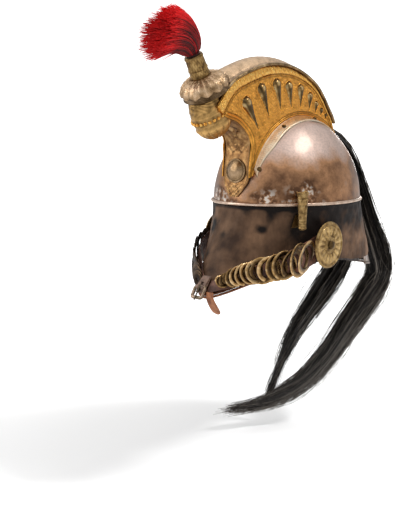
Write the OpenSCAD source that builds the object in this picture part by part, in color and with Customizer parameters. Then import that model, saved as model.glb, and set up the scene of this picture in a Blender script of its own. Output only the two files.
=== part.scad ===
// Cuirassier helmet: steel skull, hide-covered band, visor and neck guard, gilt brass crest with its
// console and red tuft, horsehair mane, ringed chin strap on rosettes, and the leather lining.
// The front is -Y, the wearer's left is +X, and the origin is the middle of the skull's rim.

/* [Skull] */
// Half the length of the steel skull at its rim
skull_half_length = 109; // [104:0.5:114]
// Half the width of the steel skull at its rim
skull_half_width = 88; // [84:0.5:92]
// Height of the crown above the rim
skull_height = 112; // [106:0.5:118]
// Thickness of the steel sheet
steel = 1.2; // [0.8:0.1:1.6]
// Width of the pale half-round roll along the rim
rim_roll_width = 4.4; // [3.4:0.1:5.4]
// Depth of that roll
rim_roll_depth = 2.6; // [1.8:0.1:3.2]

/* [Cover, visor and neck guard] */
// How far the cover's face stands outside the skull's face at the rim
cover_step = 2; // [1.8:0.1:3]
// Thickness of the hide
hide = 1.9; // [1.2:0.1:1.9]
// Half the width of the cover at its lower edge
cover_low_half_width = 77; // [74:0.5:80]
// Reach of the visor's edge ahead of the skull's middle
visor_reach = 166; // [156:1:174]
// Reach of the neck guard's edge behind the skull's middle
guard_reach = 160; // [150:1:168]
// Depth of the visor's tip under the rim
visor_drop = 106; // [98:1:112]
// Depth of the lower edge at the ears
side_drop = 72; // [67:1:77]
// Depth of the neck guard's edge at the back
guard_drop = 96; // [88:1:102]
// Radius of the roll along the visor's and the guard's edges
edge_roll = 1.6; // [1.2:0.1:2]

/* [Crest] */
// Half the distance between the outer faces of the crest's side plates
crest_half_width = 22; // [19:0.5:24]
// Thickness of the brass sheet
brass = 1.4; // [1:0.1:1.8]
// Height of the crest's ridge over its edges
ridge = 9; // [6:0.5:12]
// Radius of the roll along each side of the top plate
crest_roll = 1.8; // [1.4:0.1:2.4]
// Width of the grained border round each side plate
border_width = 12; // [9:0.5:14]
// Width of the flanges by which the crest lies on the skull
flange_width = 11; // [9:0.5:13]
// Radius of the round boss on the front plate
boss_radius = 12; // [9:0.5:14]
// Number of teardrop gadroons on each side plate
gadroons = 9; // [5:1:9]

/* [Console and tuft] */
// Greatest radius of the leaf-chased cap over the console
cap_radius = 28.5; // [26:0.5:30]
// Height of that cap
cap_height = 21; // [18:0.5:24]
// Radius of the console's bulb
bulb_radius = 26; // [24:0.5:27]
// Forward lean of the tuft's tube, in degrees
tube_lean = 29; // [24:1:34]
// Length of the tuft's tube
tube_length = 27; // [22:0.5:32]
// Outer radius of that tube at its mouth
tube_radius = 10.5; // [9.6:0.1:12]
// Radius of the bore that the tuft's stem stands in
tube_bore = 8; // [6:0.1:8.5]
// Length of the tuft beyond the tube
tuft_length = 62; // [50:1:72]
// Number of bristles in the tuft
bristles = 300; // [260:10:340]

/* [Plume holder] */
// Length of the plume holder
holder_length = 48; // [40:1:56]
// Radius of its bore
holder_bore = 3.6; // [3:0.1:4]
// Radius of its crown-like mouth
holder_mouth = 8.5; // [7.5:0.1:9.5]

/* [Chin strap] */
// Radius of each rosette
rosette_radius = 29; // [27:0.5:32]
// Height of the rosette's and the strap's pivot below the rim
pivot_drop = 48.5; // [46:0.5:51]
// Distance of that pivot ahead of the skull's middle
pivot_ahead = 33; // [30:0.5:36]
// Radius of the pivot post
post_radius = 2; // [1.6:0.1:2.6]
// Number of brass rings on each side
rings = 15; // [10:1:16]
// Outer diameter of the rearmost ring
ring_large = 37; // [33:0.5:38]
// Outer diameter of the foremost ring
ring_small = 14; // [12:0.5:16]
// Thickness of a ring
ring_thickness = 0.9; // [0.7:0.1:1.1]
// Thickness of the strap's leather
leather = 1.6; // [1.2:0.1:2]
// Half the width of the buckle's frame
buckle_half_width = 9.5; // [9:0.5:12]
// Length of the buckle's frame
buckle_length = 15; // [13:0.5:18]

/* [Mane and lining] */
// Radius of the pin that the mane hangs on
mane_pin_radius = 2; // [1.6:0.1:2.4]
// Number of leather tongues in the lining
tongues = 8; // [6:1:10]

/* [Hidden] */
$fn = 48;

// Clearance between pieces that are seated on each other
seat = 0.3;
// Radial clearance of a pin or stem that turns or slides in its hole
running = 0.08;
// Clearance of a screw in its hole
screw_clearance = 0.15;
// Play between the chin strap and the cover, which it swings past
strap_play = 0.8;

// Small helpers

function power(v, p) = sign(v) * pow(abs(v), p);
function unit(v) = v / norm(v);
function flat(lists) = [for (l = lists) each l];
function total(list) = list * [for (v = list) 1];
function reversed(list) = [for (i = [len(list) - 1 : -1 : 0]) list[i]];
function mix(a, b, t) = a + (b - a) * t;
function smooth(t) = let (u = min(max(t, 0), 1)) u * u * (3 - 2 * u);

// A smooth curve through every point of a list
function spline_point(p, i, t) =
    let (last = len(p) - 1,
         a = i > 0 ? p[i - 1] : 2 * p[0] - p[1],
         b = p[i],
         c = p[i + 1],
         d = i + 2 <= last ? p[i + 2] : 2 * p[last] - p[last - 1])
    0.5 * (2 * b + (c - a) * t + (2 * a - 5 * b + 4 * c - d) * t * t
           + (3 * b - a - 3 * c + d) * t * t * t);
function spline(p, steps) = [
    for (i = [0 : len(p) - 2], k = [0 : steps - 1]) spline_point(p, i, k / steps),
    p[len(p) - 1]];

// Direction along a curve at point i, and its left-hand normal where the curve is flat
function along(p, i) = unit(p[min(i + 1, len(p) - 1)] - p[max(i - 1, 0)]);
function normal2(p, i) = let (d = along(p, i)) [-d[1], d[0]];

// A closed skin over sections that have the same even number of points. Each section's
// first half lies on one face of the sheet and its second half comes back on the other.
function side_faces(count, rows, loop) = [
    for (i = [0 : rows - (loop ? 1 : 2)], j = [0 : count - 1])
        let (next = (i + 1) % rows, k = (j + 1) % count,
             a = i * count + j, b = i * count + k,
             c = next * count + k, d = next * count + j)
        each [[a, b, c], [a, c, d]]];
function cap_faces(count, start, turned) = [
    for (j = [0 : count / 2 - 2])
        let (a = start + j, b = a + 1, c = start + count - 2 - j, d = c + 1)
        each turned ? [[a, c, b], [a, d, c]] : [[a, b, c], [a, c, d]]];
function six_volumes(points, faces) = total([
    for (f = faces) points[f[0]] * cross(points[f[1]], points[f[2]])]);
module skin(sections, loop = false) {
    count = len(sections[0]);
    rows = len(sections);
    points = flat(sections);
    caps = loop ? [] : concat(
        cap_faces(count, 0, true), cap_faces(count, (rows - 1) * count, false));
    faces = concat(side_faces(count, rows, loop), caps);
    inside_out = six_volumes(points, faces) > 0;
    polyhedron(points, [for (f = faces) inside_out ? [f[0], f[2], f[1]] : f]);
}

// A round tube of n sides along points in space, with one radius for each point
function ring_about(p, i, r, n, turn) =
    let (d = along(p, i),
         side = unit(cross(d, abs(d[2]) > 0.98 ? [0, 1, 0] : [0, 0, 1])),
         up = cross(side, d))
    [for (k = [0 : n - 1]) p[i] + r * (cos(k * 360 / n + turn) * side
                                       + sin(k * 360 / n + turn) * up)];
module tube(p, r, n = 6) {
    skin([for (i = [0 : len(p) - 1]) ring_about(p, i, r[i], n, 0)]);
}

// Turns a piece drawn along +Z to point along d, and puts it at p
module aim(p, d) {
    u = unit(d);
    translate(p)
        rotate([0, acos(u[2]), atan2(u[1], u[0])])
            children();
}

// Draws a side view, points given as [ahead, up], and gives it a width from x0 to x1
module across(x0, x1) {
    translate([x1, 0, 0])
        rotate([90, 0, -90])
            linear_extrude(x1 - x0)
                children();
}

// Puts a side-view point into space
function at_x(x, p) = [x, -p[0], p[1]];

// The skull

// Ring of the skull's ellipsoid at a latitude, moved out along its axes
sides_round = 40;
function skull_ring(latitude, out) = [
    for (k = [0 : sides_round - 1])
        let (a = k * 360 / sides_round)
        [(skull_half_width + out) * cos(latitude) * sin(a),
         -(skull_half_length + out) * cos(latitude) * cos(a),
         (skull_height + out) * sin(latitude)]];
// Height of that ellipsoid over a point of the rim's plane
function skull_z(x, ahead, out = 0) =
    (skull_height + out) * sqrt(max(0, 1 - pow(x / (skull_half_width + out), 2)
                                       - pow(ahead / (skull_half_length + out), 2)));
// How far the ellipsoid reaches ahead at a height
function skull_ahead(x, z, out = 0) =
    (skull_half_length + out) * sqrt(max(0, 1 - pow(x / (skull_half_width + out), 2)
                                            - pow(z / (skull_height + out), 2)));
function skull_normal(p) = unit([p[0] / pow(skull_half_width, 2),
                                 p[1] / pow(skull_half_length, 2),
                                 p[2] / pow(skull_height, 2)]);

// Screws: how far each crest screw is ahead of the middle, as a share of the half length
screw_places = [0.86, 0.42, -0.17];
screw_radius = 1.3;
function screw_foot(share) =
    let (x = crest_half_width + seat + flange_width / 2, ahead = share * skull_half_length)
    [x, -ahead, skull_z(x, ahead)];
// Runs its children at every screw, drawn along the skull's outward normal
module each_screw() {
    for (side = [0, 1], share = screw_places)
        mirror([side, 0, 0])
            aim(screw_foot(share), skull_normal(screw_foot(share)))
                children();
}

module skull() {
    latitudes = [0, 5, 12, 20, 29, 38, 48, 58, 68, 77, 85];
    color("#b5a79e")
        difference() {
            skin(concat([for (l = reversed(latitudes)) skull_ring(l, -steel)],
                        [for (l = latitudes) skull_ring(l, 0)]));
            each_screw()
                translate([0, 0, -4])
                    cylinder(r = screw_radius + screw_clearance, h = 8);
        }
}

module rim_roll() {
    // Half-round section: how far out, how far up
    section = [[0, 0], [0.7, 0], [1, 0.3], [1, 0.7], [0.7, 1], [0, 1]];
    color("#d8c3b4")
        skin([for (k = [0 : 47])
            let (a = k * 7.5)
            [for (q = section)
                let (out = seat + q[0] * rim_roll_depth)
                [(skull_half_width + out) * sin(a), -(skull_half_length + out) * cos(a),
                 q[1] * rim_roll_width]]], loop = true);
}

// The band, the cover, the visor and the neck guard share one flared form. a is the angle
// from the front towards the wearer's left, t runs from 0 at the rim to 1 at the lower edge.

cover_half_width = skull_half_width + cover_step;
cover_front = skull_half_length + cover_step / 2;
cover_rear = skull_half_length + cover_step / 2;
function form_width(t) = mix(cover_half_width, cover_low_half_width, pow(t, 0.7));
function form_front(t) = mix(cover_front, visor_reach, pow(t, 1.4));
function form_rear(t) = mix(cover_rear, guard_reach, t);
function form_power(a, t) = cos(a) > 0 ? 2 - 0.3 * t : 2 + 0.3 * t;
function edge_drop(a) =
    let (share = pow(abs(cos(a)), 2 / form_power(a, 1)))
    cos(a) > 0 ? mix(side_drop, visor_drop, pow(share, 2.6)) : mix(side_drop, guard_drop, share);
function form(a, t, out = 0) =
    let (p = 2 / form_power(a, t),
         reach = cos(a) > 0 ? form_front(t) : form_rear(t))
    [(form_width(t) + out) * power(sin(a), p), -(reach + out) * power(cos(a), p),
     -t * edge_drop(a)];

// Sheet between two offsets of the form, over angles and from t0 to t1 at each angle
function sheet_section(a, t0, t1, outer, inner, steps) = concat(
    [for (k = [0 : steps]) form(a, mix(t0, t1, k / steps), outer)],
    [for (k = [steps : -1 : 0]) form(a, mix(t0, t1, k / steps), inner)]);

// Places of the sheets below the cover's face
band_outer = -hide - 0.75;
band_inner = band_outer - steel;
// The band is a ring with a deep cheek over each ear, the visor and guard fill in between
band_depth = 0.42;
visor_half_angle = 57;
cheek_start = 64;
function from_front(a) = abs(((a + 180) % 360) - 180);
function from_axis(a) = let (q = from_front(a)) min(q, 180 - q);
function band_low(a) = from_axis(a) >= cheek_start ? 1 : band_depth;

module post_hole() {
    for (side = [0, 1])
        mirror([side, 0, 0])
            translate([skull_half_width / 2, -pivot_ahead, -pivot_drop])
                rotate([0, 90, 0])
                    cylinder(r = post_radius + screw_clearance, h = skull_half_width);
}

module skull_band() {
    color("#8f8379")
        difference() {
            skin([for (k = [0 : 47])
                let (a = k * 7.5)
                sheet_section(a, 0.006, band_low(a), band_outer, band_inner, 3)],
                loop = true);
            post_hole();
        }
}

// Lower edge of the hide: short of the visor's edge, full at the ears, high at the back
function hide_low(a) = cos(a) > 0
    ? mix(0.97, 0.84, pow(cos(a), 6)) : mix(0.97, 0.62, pow(cos(a), 2));
module hide_cover() {
    color("#3d2f28")
        difference() {
            skin([for (k = [0 : 47])
                let (a = k * 7.5)
                sheet_section(a, 0.006, hide_low(a), 0, -hide, 4)], loop = true);
            post_hole();
        }
}

// Gap between the band's lower edge and the visor, as a share of the drop
sheet_gap = 0.004;
module front_or_back(middle, top) {
    skin([for (k = [0 : 18])
        let (a = middle + mix(-visor_half_angle, visor_half_angle, k / 18))
        sheet_section(a, top, 1, band_outer, band_inner, 4)]);
}
module visor() {
    color("#b89c8f") front_or_back(0, band_depth + sheet_gap);
}
module neck_guard() {
    color("#cfc6c0") front_or_back(180, band_depth + sheet_gap);
}

// Roll seated under an edge, over the same angles
module edge_tube(middle) {
    path = [for (k = [0 : 28])
        let (a = middle + mix(-visor_half_angle, visor_half_angle, k / 28))
        form(a, 1, (band_outer + band_inner) / 2) - [0, 0, edge_roll + seat]];
    tube(path, [for (q = path) edge_roll]);
}
module visor_edge() {
    color("#b98c5a") edge_tube(0);
}
module neck_guard_edge() {
    color("#cfc6c0") edge_tube(180);
}

// The crest. Its outlines are given as shares of the skull's half length and height.

function share_point(p) = [p[0] * skull_half_length, p[1] * skull_height];
crest_rear = 0.70;
plate_inner = crest_half_width - brass;
rear_corner = [-crest_rear * skull_half_length,
               skull_z(plate_inner, -crest_rear * skull_half_length, 0.5) + 4];
upper_line = spline(concat(
    [for (p = [[1.52, 1.08], [1.34, 1.286], [1.13, 1.402], [0.67, 1.527], [0.2, 1.508],
               [-0.24, 1.328], [-0.53, 1.03], [-0.625, 0.89]]) share_point(p)],
    [rear_corner]), 4);
front_line = spline([for (p = [[0.975, 0.31], [0.97, 0.41], [0.955, 0.536], [0.945, 0.67],
    [1.0, 0.786], [1.165, 0.91], [1.376, 0.97], [1.49, 1.03]]) share_point(p)], 3);
function lower_line(out) = [
    for (k = [0 : 24])
        let (ahead = mix(-crest_rear, 0.915, k / 24) * skull_half_length)
        [ahead, skull_z(plate_inner, ahead, 0.5 + out)]];

// Teardrops: head and tail as shares in percent, and the head's radius
teardrops = [
    [[103, 114], [82, 85], 5.4], [[77, 126], [63, 98], 5.2], [[50, 132], [41, 105], 5],
    [[27, 130], [21, 108], 4.6], [[4, 128], [3, 108], 4.1], [[-15, 120], [-14, 105], 3.5],
    [[-28, 111], [-27, 102], 2.9], [[-39, 104], [-38, 99], 2.3], [[-48, 98], [-47, 95], 1.7]];
// One teardrop: a solid of revolution about its own length, sunk by a share of its radius
module teardrop(drop) {
    head = share_point(drop[0] / 100);
    tail = share_point(drop[1] / 100);
    radius = drop[2];
    length = norm(head - tail);
    angles = [0, 30, 60, 90, 115];
    profile = concat(
        [for (a = angles) [radius * sin(a), length + radius * cos(a)]],
        [[radius * 0.45, length * 0.45], [radius * 0.2, length * 0.12], [0, 0]]);
    aim(at_x(crest_half_width - 0.15 * radius, tail),
        at_x(0, head) - at_x(0, tail))
        rotate_extrude($fn = 32)
            polygon(profile);
}

module crest_side() {
    outline = concat(reversed(lower_line(0)), [rear_corner], reversed(upper_line),
                     reversed(front_line));
    moulding = concat(lower_line(2.2), reversed(lower_line(6)));
    color("#d08a1e") {
        difference() {
            union() {
                across(plate_inner, crest_half_width)
                    polygon(outline);
                across(crest_half_width - 0.2, crest_half_width + 1.2)
                    polygon(moulding);
                intersection() {
                    union() {
                        for (i = [0 : gadroons - 1])
                            teardrop(teardrops[i]);
                    }
                    across(plate_inner + 0.2, crest_half_width + 8)
                        polygon(outline);
                }
            }
            mane_pin_hole();
        }
    }
}
module crest_left_plate() {
    crest_side();
}
module crest_right_plate() {
    mirror([1, 0, 0]) crest_side();
}

// Border on the side plate's face: a low half-round strip that follows the upper edge and
// narrows towards the back
border_end = 27;
module crest_border() {
    half = border_width / 2;
    section = [[-half, 0.5], [-0.55 * half, 2.4], [0.55 * half, 2.4], [half, 0.5],
               [half, 0], [0.5 * half, 0], [-0.5 * half, 0], [-half, 0]];
    color("#cf9232")
        skin([for (i = [1 : border_end])
            let (p = upper_line[i], n = normal2(upper_line, i),
                 narrow = mix(1, 0.3, smooth((i - 10) / 16)))
            [for (q = section)
                at_x(crest_half_width + seat + q[1],
                     p + n * (1.5 + (half + q[0]) * narrow))]]);
}
module crest_left_border() {
    crest_border();
}
module crest_right_border() {
    mirror([1, 0, 0]) crest_border();
}

// The top plate starts behind the cap: sections of its face as [across, up]
top_start = 4;
top_end = len(upper_line) - 5;
top_half = crest_half_width + 0.8;
top_face = [[-1, 0], [-0.84, 0], [-0.62, 0.47], [-0.32, 0.85], [0, 1], [0.32, 0.85],
            [0.62, 0.47], [0.84, 0], [1, 0]];
module crest_top() {
    color("#b9955a")
        skin([for (i = [top_start : top_end])
            let (p = upper_line[i], n = -normal2(upper_line, i))
            concat([for (q = top_face)
                       at_x(q[0] * top_half, p + n * (seat + brass + q[1] * ridge))],
                   [for (q = reversed(top_face))
                       at_x(q[0] * top_half, p + n * (seat + q[1] * ridge))])]);
}
module crest_edge_roll() {
    path = [for (i = [top_start : top_end])
        at_x(top_half + seat + crest_roll,
             upper_line[i] - normal2(upper_line, i) * 0.8)];
    color("#a98450")
        tube(path, [for (q = path) crest_roll]);
}
module crest_left_roll() {
    crest_edge_roll();
}
module crest_right_roll() {
    mirror([1, 0, 0]) crest_edge_roll();
}

// Flange on the skull, narrow at both ends
module crest_flange() {
    inner = crest_half_width + seat;
    color("#d9b06a")
        difference() {
            skin([for (k = [0 : 24])
                let (share = mix(-crest_rear + 0.02, 0.90, k / 24),
                     ahead = share * skull_half_length,
                     width = flange_width * mix(0.45, 1, smooth(6 * min(k, 24 - k) / 24)))
                concat([for (q = [0, 0.5, 1])
                           let (x = inner + q * width)
                           [x, -ahead, skull_z(x, ahead, seat + brass)]],
                       [for (q = [1, 0.5, 0])
                           let (x = inner + q * width)
                           [x, -ahead, skull_z(x, ahead, seat)]])]);
            aim_screws_left();
        }
}
module aim_screws_left() {
    for (share = screw_places)
        aim(screw_foot(share), skull_normal(screw_foot(share)))
            translate([0, 0, -1])
                cylinder(r = screw_radius + screw_clearance, h = 6);
}
module crest_left_flange() {
    crest_flange();
}
module crest_right_flange() {
    mirror([1, 0, 0]) crest_flange();
}

// Front plate: from a rounded foot on the skull up between the side plates
plate_half_width = plate_inner - seat;
front_plate_line = concat(
    [for (share = [0.1, 0.16, 0.23])
        [skull_ahead(0, share * skull_height) + brass + 0.5, share * skull_height]],
    [for (i = [0 : 3 : len(front_line) - 4]) front_line[i] - [1.2, 0]]);
front_plate_curve = spline(front_plate_line, 2);
module crest_front_plate() {
    color("#9c7a3c")
        skin([for (i = [0 : len(front_plate_curve) - 1])
            let (p = front_plate_curve[i],
                 n = -normal2(front_plate_curve, i),
                 half = plate_half_width * (i < 5 ? mix(0.35, 1, sin(i * 18)) : 1))
            concat([for (q = [-1, -0.5, 0, 0.5, 1])
                       at_x(q * half, p - [2.5 * pow(q * half / plate_half_width, 2), 0])],
                   [for (q = [1, 0.5, 0, -0.5, -1])
                       at_x(q * half, p - n * brass
                            - [2.5 * pow(q * half / plate_half_width, 2), 0])])]);
}

// Boss seated on the front plate's flat stretch
boss_from = front_line[0] - [1.2, 0];
boss_to = front_line[6] - [1.2, 0];
boss_along = unit(boss_to - boss_from);
boss_normal = [boss_along[1], -boss_along[0]];
boss_centre = mix(boss_from, boss_to, 0.32) + boss_normal * (seat + 0.9);
module front_boss() {
    r = boss_radius;
    color("#8f7240")
        aim(at_x(0, boss_centre), at_x(0, boss_normal))
            rotate_extrude()
                polygon([[0, 0], [r, 0], [r, 1.2], [0.86 * r, 2], [0.8 * r, 1.6],
                         [0.6 * r, 3.4], [0.35 * r, 4.6], [0, 5]]);
}

// Screws of the crest, with their nuts inside the skull
head_height = seat + brass + seat;
module crest_screws() {
    color("#a08050")
        each_screw() {
            translate([0, 0, -steel - 4])
                cylinder(r = screw_radius, h = steel + 4 + head_height + 0.2);
            translate([0, 0, head_height])
                cylinder(r1 = 2.8, r2 = 1.8, h = 1.4);
        }
}
module crest_nuts() {
    color("#77706a")
        each_screw()
            translate([0, 0, -steel - seat - 2.5])
                difference() {
                    cylinder(r = 3.2, h = 2, $fn = 6);
                    translate([0, 0, -1])
                        cylinder(r = screw_radius + running, h = 4);
                }
}

// The console and the tuft stand on one leaning axis

cap_foot = share_point([1.465, 1.22]);
lean = [sin(tube_lean), cos(tube_lean)];
function lean_point(h, out = 0) = cap_foot + lean * h + [lean[1], -lean[0]] * out;
module on_lean(h) {
    aim(at_x(0, lean_point(h)), at_x(0, lean))
        children();
}
// Space that the crest's own pieces take, with a gap all round
module crest_space(half) {
    gap = 0.4;
    top = [for (i = [0 : len(upper_line) - 1])
        upper_line[i] - normal2(upper_line, i) * gap];
    front = [for (i = [0 : len(front_line) - 1]) front_line[i] + [gap, -gap]];
    under = [for (q = lower_line(0)) q - [0, 12]];
    across(-half, half)
        polygon(concat(reversed(under), reversed(top), reversed(front)));
    high = ridge + brass + 2 * gap;
    roof = [for (i = [top_start - 1 : len(upper_line) - 1])
        upper_line[i] - normal2(upper_line, i) * high];
    floor_line = [for (i = [top_start - 1 : len(upper_line) - 1])
        upper_line[i] + normal2(upper_line, i) * 8];
    wide = top_half + 2 * crest_roll + 2 * gap;
    across(-wide, wide)
        polygon(concat(floor_line, reversed(roof)));
}
module console_cap() {
    r = cap_radius;
    h = cap_height;
    outer = [[r - 1, -1.5], [r + 0.5, 0], [r - 1, 1.5], [r + 0.4, 0.3 * h], [r, 0.5 * h],
             [r - 4, 0.75 * h], [0.6 * r, 0.93 * h], [0.4 * r, h]];
    inner = [[0.4 * r, h - brass], [0.6 * r - 0.5, 0.93 * h - brass],
             [r - 5, 0.75 * h - brass], [r - brass, 0.5 * h - 1], [r - brass, 0.3 * h],
             [r - 1 - brass, 1.5], [r - 1 - brass, -1.5]];
    color("#b8a06c")
        difference() {
            on_lean(0)
                rotate_extrude(convexity = 4)
                    polygon(concat(outer, inner));
            crest_space(crest_half_width + 3.4);
            on_lean(cap_height - 6)
                cylinder(r = tube_bore, h = 12);
        }
}
bulb_centre = share_point([1.39, 0.98]);
module console_bulb() {
    // Profile as shares of the bulb's radius: open above, closed and rounded below
    face = [[0.84, 0.985], [0.9, 0.9], [0.97, 0.62], [1, 0.32], [1, 0], [0.93, -0.34], [0.75, -0.64],
            [0.48, -0.87], [0, -1]];
    r = bulb_radius;
    wall = 1 - brass / r;
    color("#94783f")
        difference() {
            aim(at_x(0, bulb_centre), at_x(0, lean))
                rotate_extrude(convexity = 4)
                    polygon(concat(r * face, [for (q = reversed(face))
                        [q[0] * r * wall, q[1] * r * (q[1] > 0.8 ? 1 : wall)]]));
            crest_space(bulb_radius + 1);
        }
}

tube_floor = 1.6;
tube_foot = cap_height + seat;
tube_top = tube_foot + tube_length;
module tuft_tube() {
    r = tube_radius;
    l = tube_length;
    color("#a8843f")
        on_lean(tube_foot)
            difference() {
                rotate_extrude()
                    polygon([[0, 0], [r + 1.6, 0], [r + 1.8, 2], [r + 0.9, 3], [r + 0.6, l / 3],
                             [r + 1.2, l / 3 + 1], [r + 0.5, l / 3 + 2], [r, l - 4],
                             [r + 0.6, l - 3], [r + 0.6, l - 1], [r, l], [0, l]]);
                translate([0, 0, tube_floor])
                    cylinder(r = tube_bore, h = l);
            }
}
module tuft_stem() {
    color("#6b4a2c")
        on_lean(tube_foot + tube_floor + seat)
            cylinder(r = tube_bore - running, h = tube_length - tube_floor);
}

// The tuft: bristles fan out from the stem and bow forward together, so that none cross
tuft_foot = tube_top + 2 * seat;
backing = 2;
tuft_start = lean_point(tuft_foot + backing / 2);
tuft_bend = tuft_start + lean * tuft_length * 0.6;
tuft_tip = tuft_bend + [tuft_length * 0.66, -tuft_length * 0.15];
// How far the tuft's tips hang over to the wearer's right
tuft_sway = 17;
function bow(t) = (1 - t) * (1 - t) * tuft_start + 2 * t * (1 - t) * tuft_bend
                  + t * t * tuft_tip;
function bow_along(t) = unit(2 * (1 - t) * (tuft_bend - tuft_start)
                             + 2 * t * (tuft_tip - tuft_bend));
// How many times wider the tuft is at t than at its foot, in the plane of the bow and across it
function fan(t) = 1 + 3.8 * pow(t, 0.55);
function fan_across(t) = mix(1, fan(t), 0.8);
// Place of bristle i at t, with x across and y in the plane of the bow
bundle_radius = tube_bore - 0.9;
function bristle_seed(i) =
    let (r = bundle_radius * sqrt((i + 0.5) / bristles), a = i * 137.508)
    [r * cos(a), r * sin(a)];
function bristle_point(i, t) =
    let (q = bristle_seed(i), n = bow_along(t),
         p = bow(t) + [n[1], -n[0]] * q[1] * fan(t))
    at_x(q[0] * fan_across(t) - tuft_sway * t * t, p);
bristle_radius = 0.36;
// The bristles on the inside of the bow reach farther along it than those on the outside
function bristle_length(i) =
    0.81 + 0.17 * bristle_seed(i)[1] / bundle_radius + 0.06 * sin(i * 57) * sin(i * 31);
// Every bristle bends at the same place, given as [t, thickness as a share of the radius]
bristle_bends = [[0, 0.8], [0.32, 2.3]];
function bristle_rings(i) = [
    for (bend = concat(bristle_bends, [[bristle_length(i), 1.3]]))
        let (t = bend[0], p = bristle_point(i, t), d = bow_along(t), r = bristle_radius * bend[1])
        [for (j = [0 : 2])
            let (a = j * 120 + i * 20, q = [cos(a), sin(a)] * r)
            p + [q[0], -d[1] * q[1], -d[0] * q[1]]]];
module tuft_bristles() {
    points = flat([for (i = [0 : bristles - 1]) flat(bristle_rings(i))]);
    faces = flat([for (i = [0 : bristles - 1])
        let (last = len(bristle_bends), s = 3 * (last + 1) * i, e = s + 3 * last)
        concat([[s, s + 1, s + 2], [e, e + 2, e + 1]],
            [for (k = [0 : last - 1], j = [0 : 2])
                let (a = s + 3 * k + j, b = s + 3 * k + (j + 1) % 3)
                each [[a, a + 3, b], [b, a + 3, b + 3]]])]);
    inside_out = six_volumes(points, faces) > 0;
    color("#c4161f")
        // One mesh: the size of zero leaves every measure as it is
        resize([0, 0, 0])
            union() {
                polyhedron(points, [for (f = faces) inside_out ? [f[0], f[2], f[1]] : f]);
                on_lean(tuft_foot)
                    cylinder(r = tube_bore - running, h = backing, $fn = 24);
            }
}

// The plume holder stands on the cover at the wearer's left

holder_ahead = 0.68 * skull_half_length;
holder_x = cover_half_width * sqrt(1 - pow(holder_ahead / cover_front, 2))
           + rim_roll_depth + holder_mouth + 1.5;
holder_top = 20;
holder_outer = [
    [0, -holder_length], [3.6, -holder_length + 0.8], [5.2, -holder_length + 3],
    [4.6, -holder_length + 5], [0.6 * holder_mouth, -0.7 * holder_length],
    [0.74 * holder_mouth, -11], [0.9 * holder_mouth, -9.5], [0.74 * holder_mouth, -8],
    [0.82 * holder_mouth, -4], [holder_mouth, 0], [0, 0]];
module holder_body() {
    translate([holder_x, -holder_ahead, holder_top])
        rotate_extrude()
            polygon(holder_outer);
}
module plume_holder() {
    color("#b58a45")
        difference() {
            holder_body();
            translate([holder_x, -holder_ahead, holder_top - holder_length + 6])
                cylinder(r = holder_bore, h = holder_length);
        }
}
// Bracket: a plate on the hide and a web that reaches the holder
holder_angle = 53;
module plume_bracket() {
    foot = form(holder_angle, 0.22, seat + 0.6);
    centre = [holder_x, -holder_ahead, 0];
    reach = [centre[0] - foot[0], centre[1] - foot[1]];
    color("#9a7640")
        difference() {
            union() {
                skin([for (k = [0 : 4])
                    let (a = holder_angle - 3 + 1.5 * k)
                    sheet_section(a, 0.12, 0.32, 2 * seat + brass, 2 * seat, 3)]);
                translate([foot[0], foot[1], -0.22 * edge_drop(holder_angle)])
                    rotate([0, 0, atan2(reach[1], reach[0])])
                        translate([0, -2.5, -5])
                            cube([norm(reach), 5, 10]);
            }
            translate([holder_x, -holder_ahead, holder_top])
                rotate_extrude()
                    polygon([for (q = holder_outer)
                        [q[0] > 0 ? q[0] + 0.1 : 0, q[1]]]);
        }
}

// The chin strap's pivot: posts along X through the band, the cover and the rosettes

pivot_angle = 73;
cheek_x = form(pivot_angle, pivot_drop / side_drop, 0)[0];
upper_x = form(pivot_angle + 3, (pivot_drop - 15) / side_drop, 0)[0];
tab_x = upper_x + strap_play;
plate_x = tab_x + leather + seat;
rosette_x = plate_x + brass + seat;
rosette_depth = 9.2;
module at_pivot(x) {
    translate([x, -pivot_ahead, -pivot_drop])
        rotate([0, 90, 0])
            children();
}
post_inner = cheek_x + band_inner - 6;
post_head = rosette_x + rosette_depth + 0.2;
module post() {
    color("#a37c3d") {
        at_pivot(post_inner)
            cylinder(r = post_radius, h = post_head - post_inner + 0.5);
        at_pivot(post_head)
            rotate_extrude()
                polygon([[0, 0], [5.4, 0], [5.4, 1], [4.4, 2.2], [2.4, 3], [0, 3.2]]);
    }
}
module left_post() {
    post();
}
module right_post() {
    mirror([1, 0, 0]) post();
}
module post_nuts() {
    color("#77706a")
        for (side = [0, 1])
            mirror([side, 0, 0])
                at_pivot(post_inner + 1)
                    difference() {
                        cylinder(r = 4.6, h = 2.6, $fn = 6);
                        translate([0, 0, -1])
                            cylinder(r = post_radius + running, h = 6);
                    }
}
module rosette() {
    r = rosette_radius;
    d = rosette_depth;
    color("#b08a4a")
        at_pivot(rosette_x)
            difference() {
                union() {
                    rotate_extrude()
                        polygon([[0, 0], [9, 0], [10, d - 3.6], [r - 4, d - 3.9],
                                 [r - 1, d - 4.2], [r, d - 3.6], [r, d - 2.6], [r - 2, d - 1.6],
                                 [r - 4, d - 2.6], [11.5, d - 1.6], [10, d - 0.4], [8, d],
                                 [0, d]]);
                    for (k = [0 : 15])
                        rotate([0, 0, k * 22.5])
                            translate([0, 0, d - 3.2])
                                linear_extrude(2.2)
                                    polygon([[0.38 * r, -1], [0.59 * r, -2.3], [r - 6, -2.6],
                                             [r - 4.4, 0], [r - 6, 2.6], [0.59 * r, 2.3],
                                             [0.38 * r, 1]]);
                }
                translate([0, 0, -1])
                    cylinder(r = post_radius + screw_clearance, h = d + 2);
            }
}
module left_rosette() {
    rosette();
}
module right_rosette() {
    mirror([1, 0, 0]) rosette();
}

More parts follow.
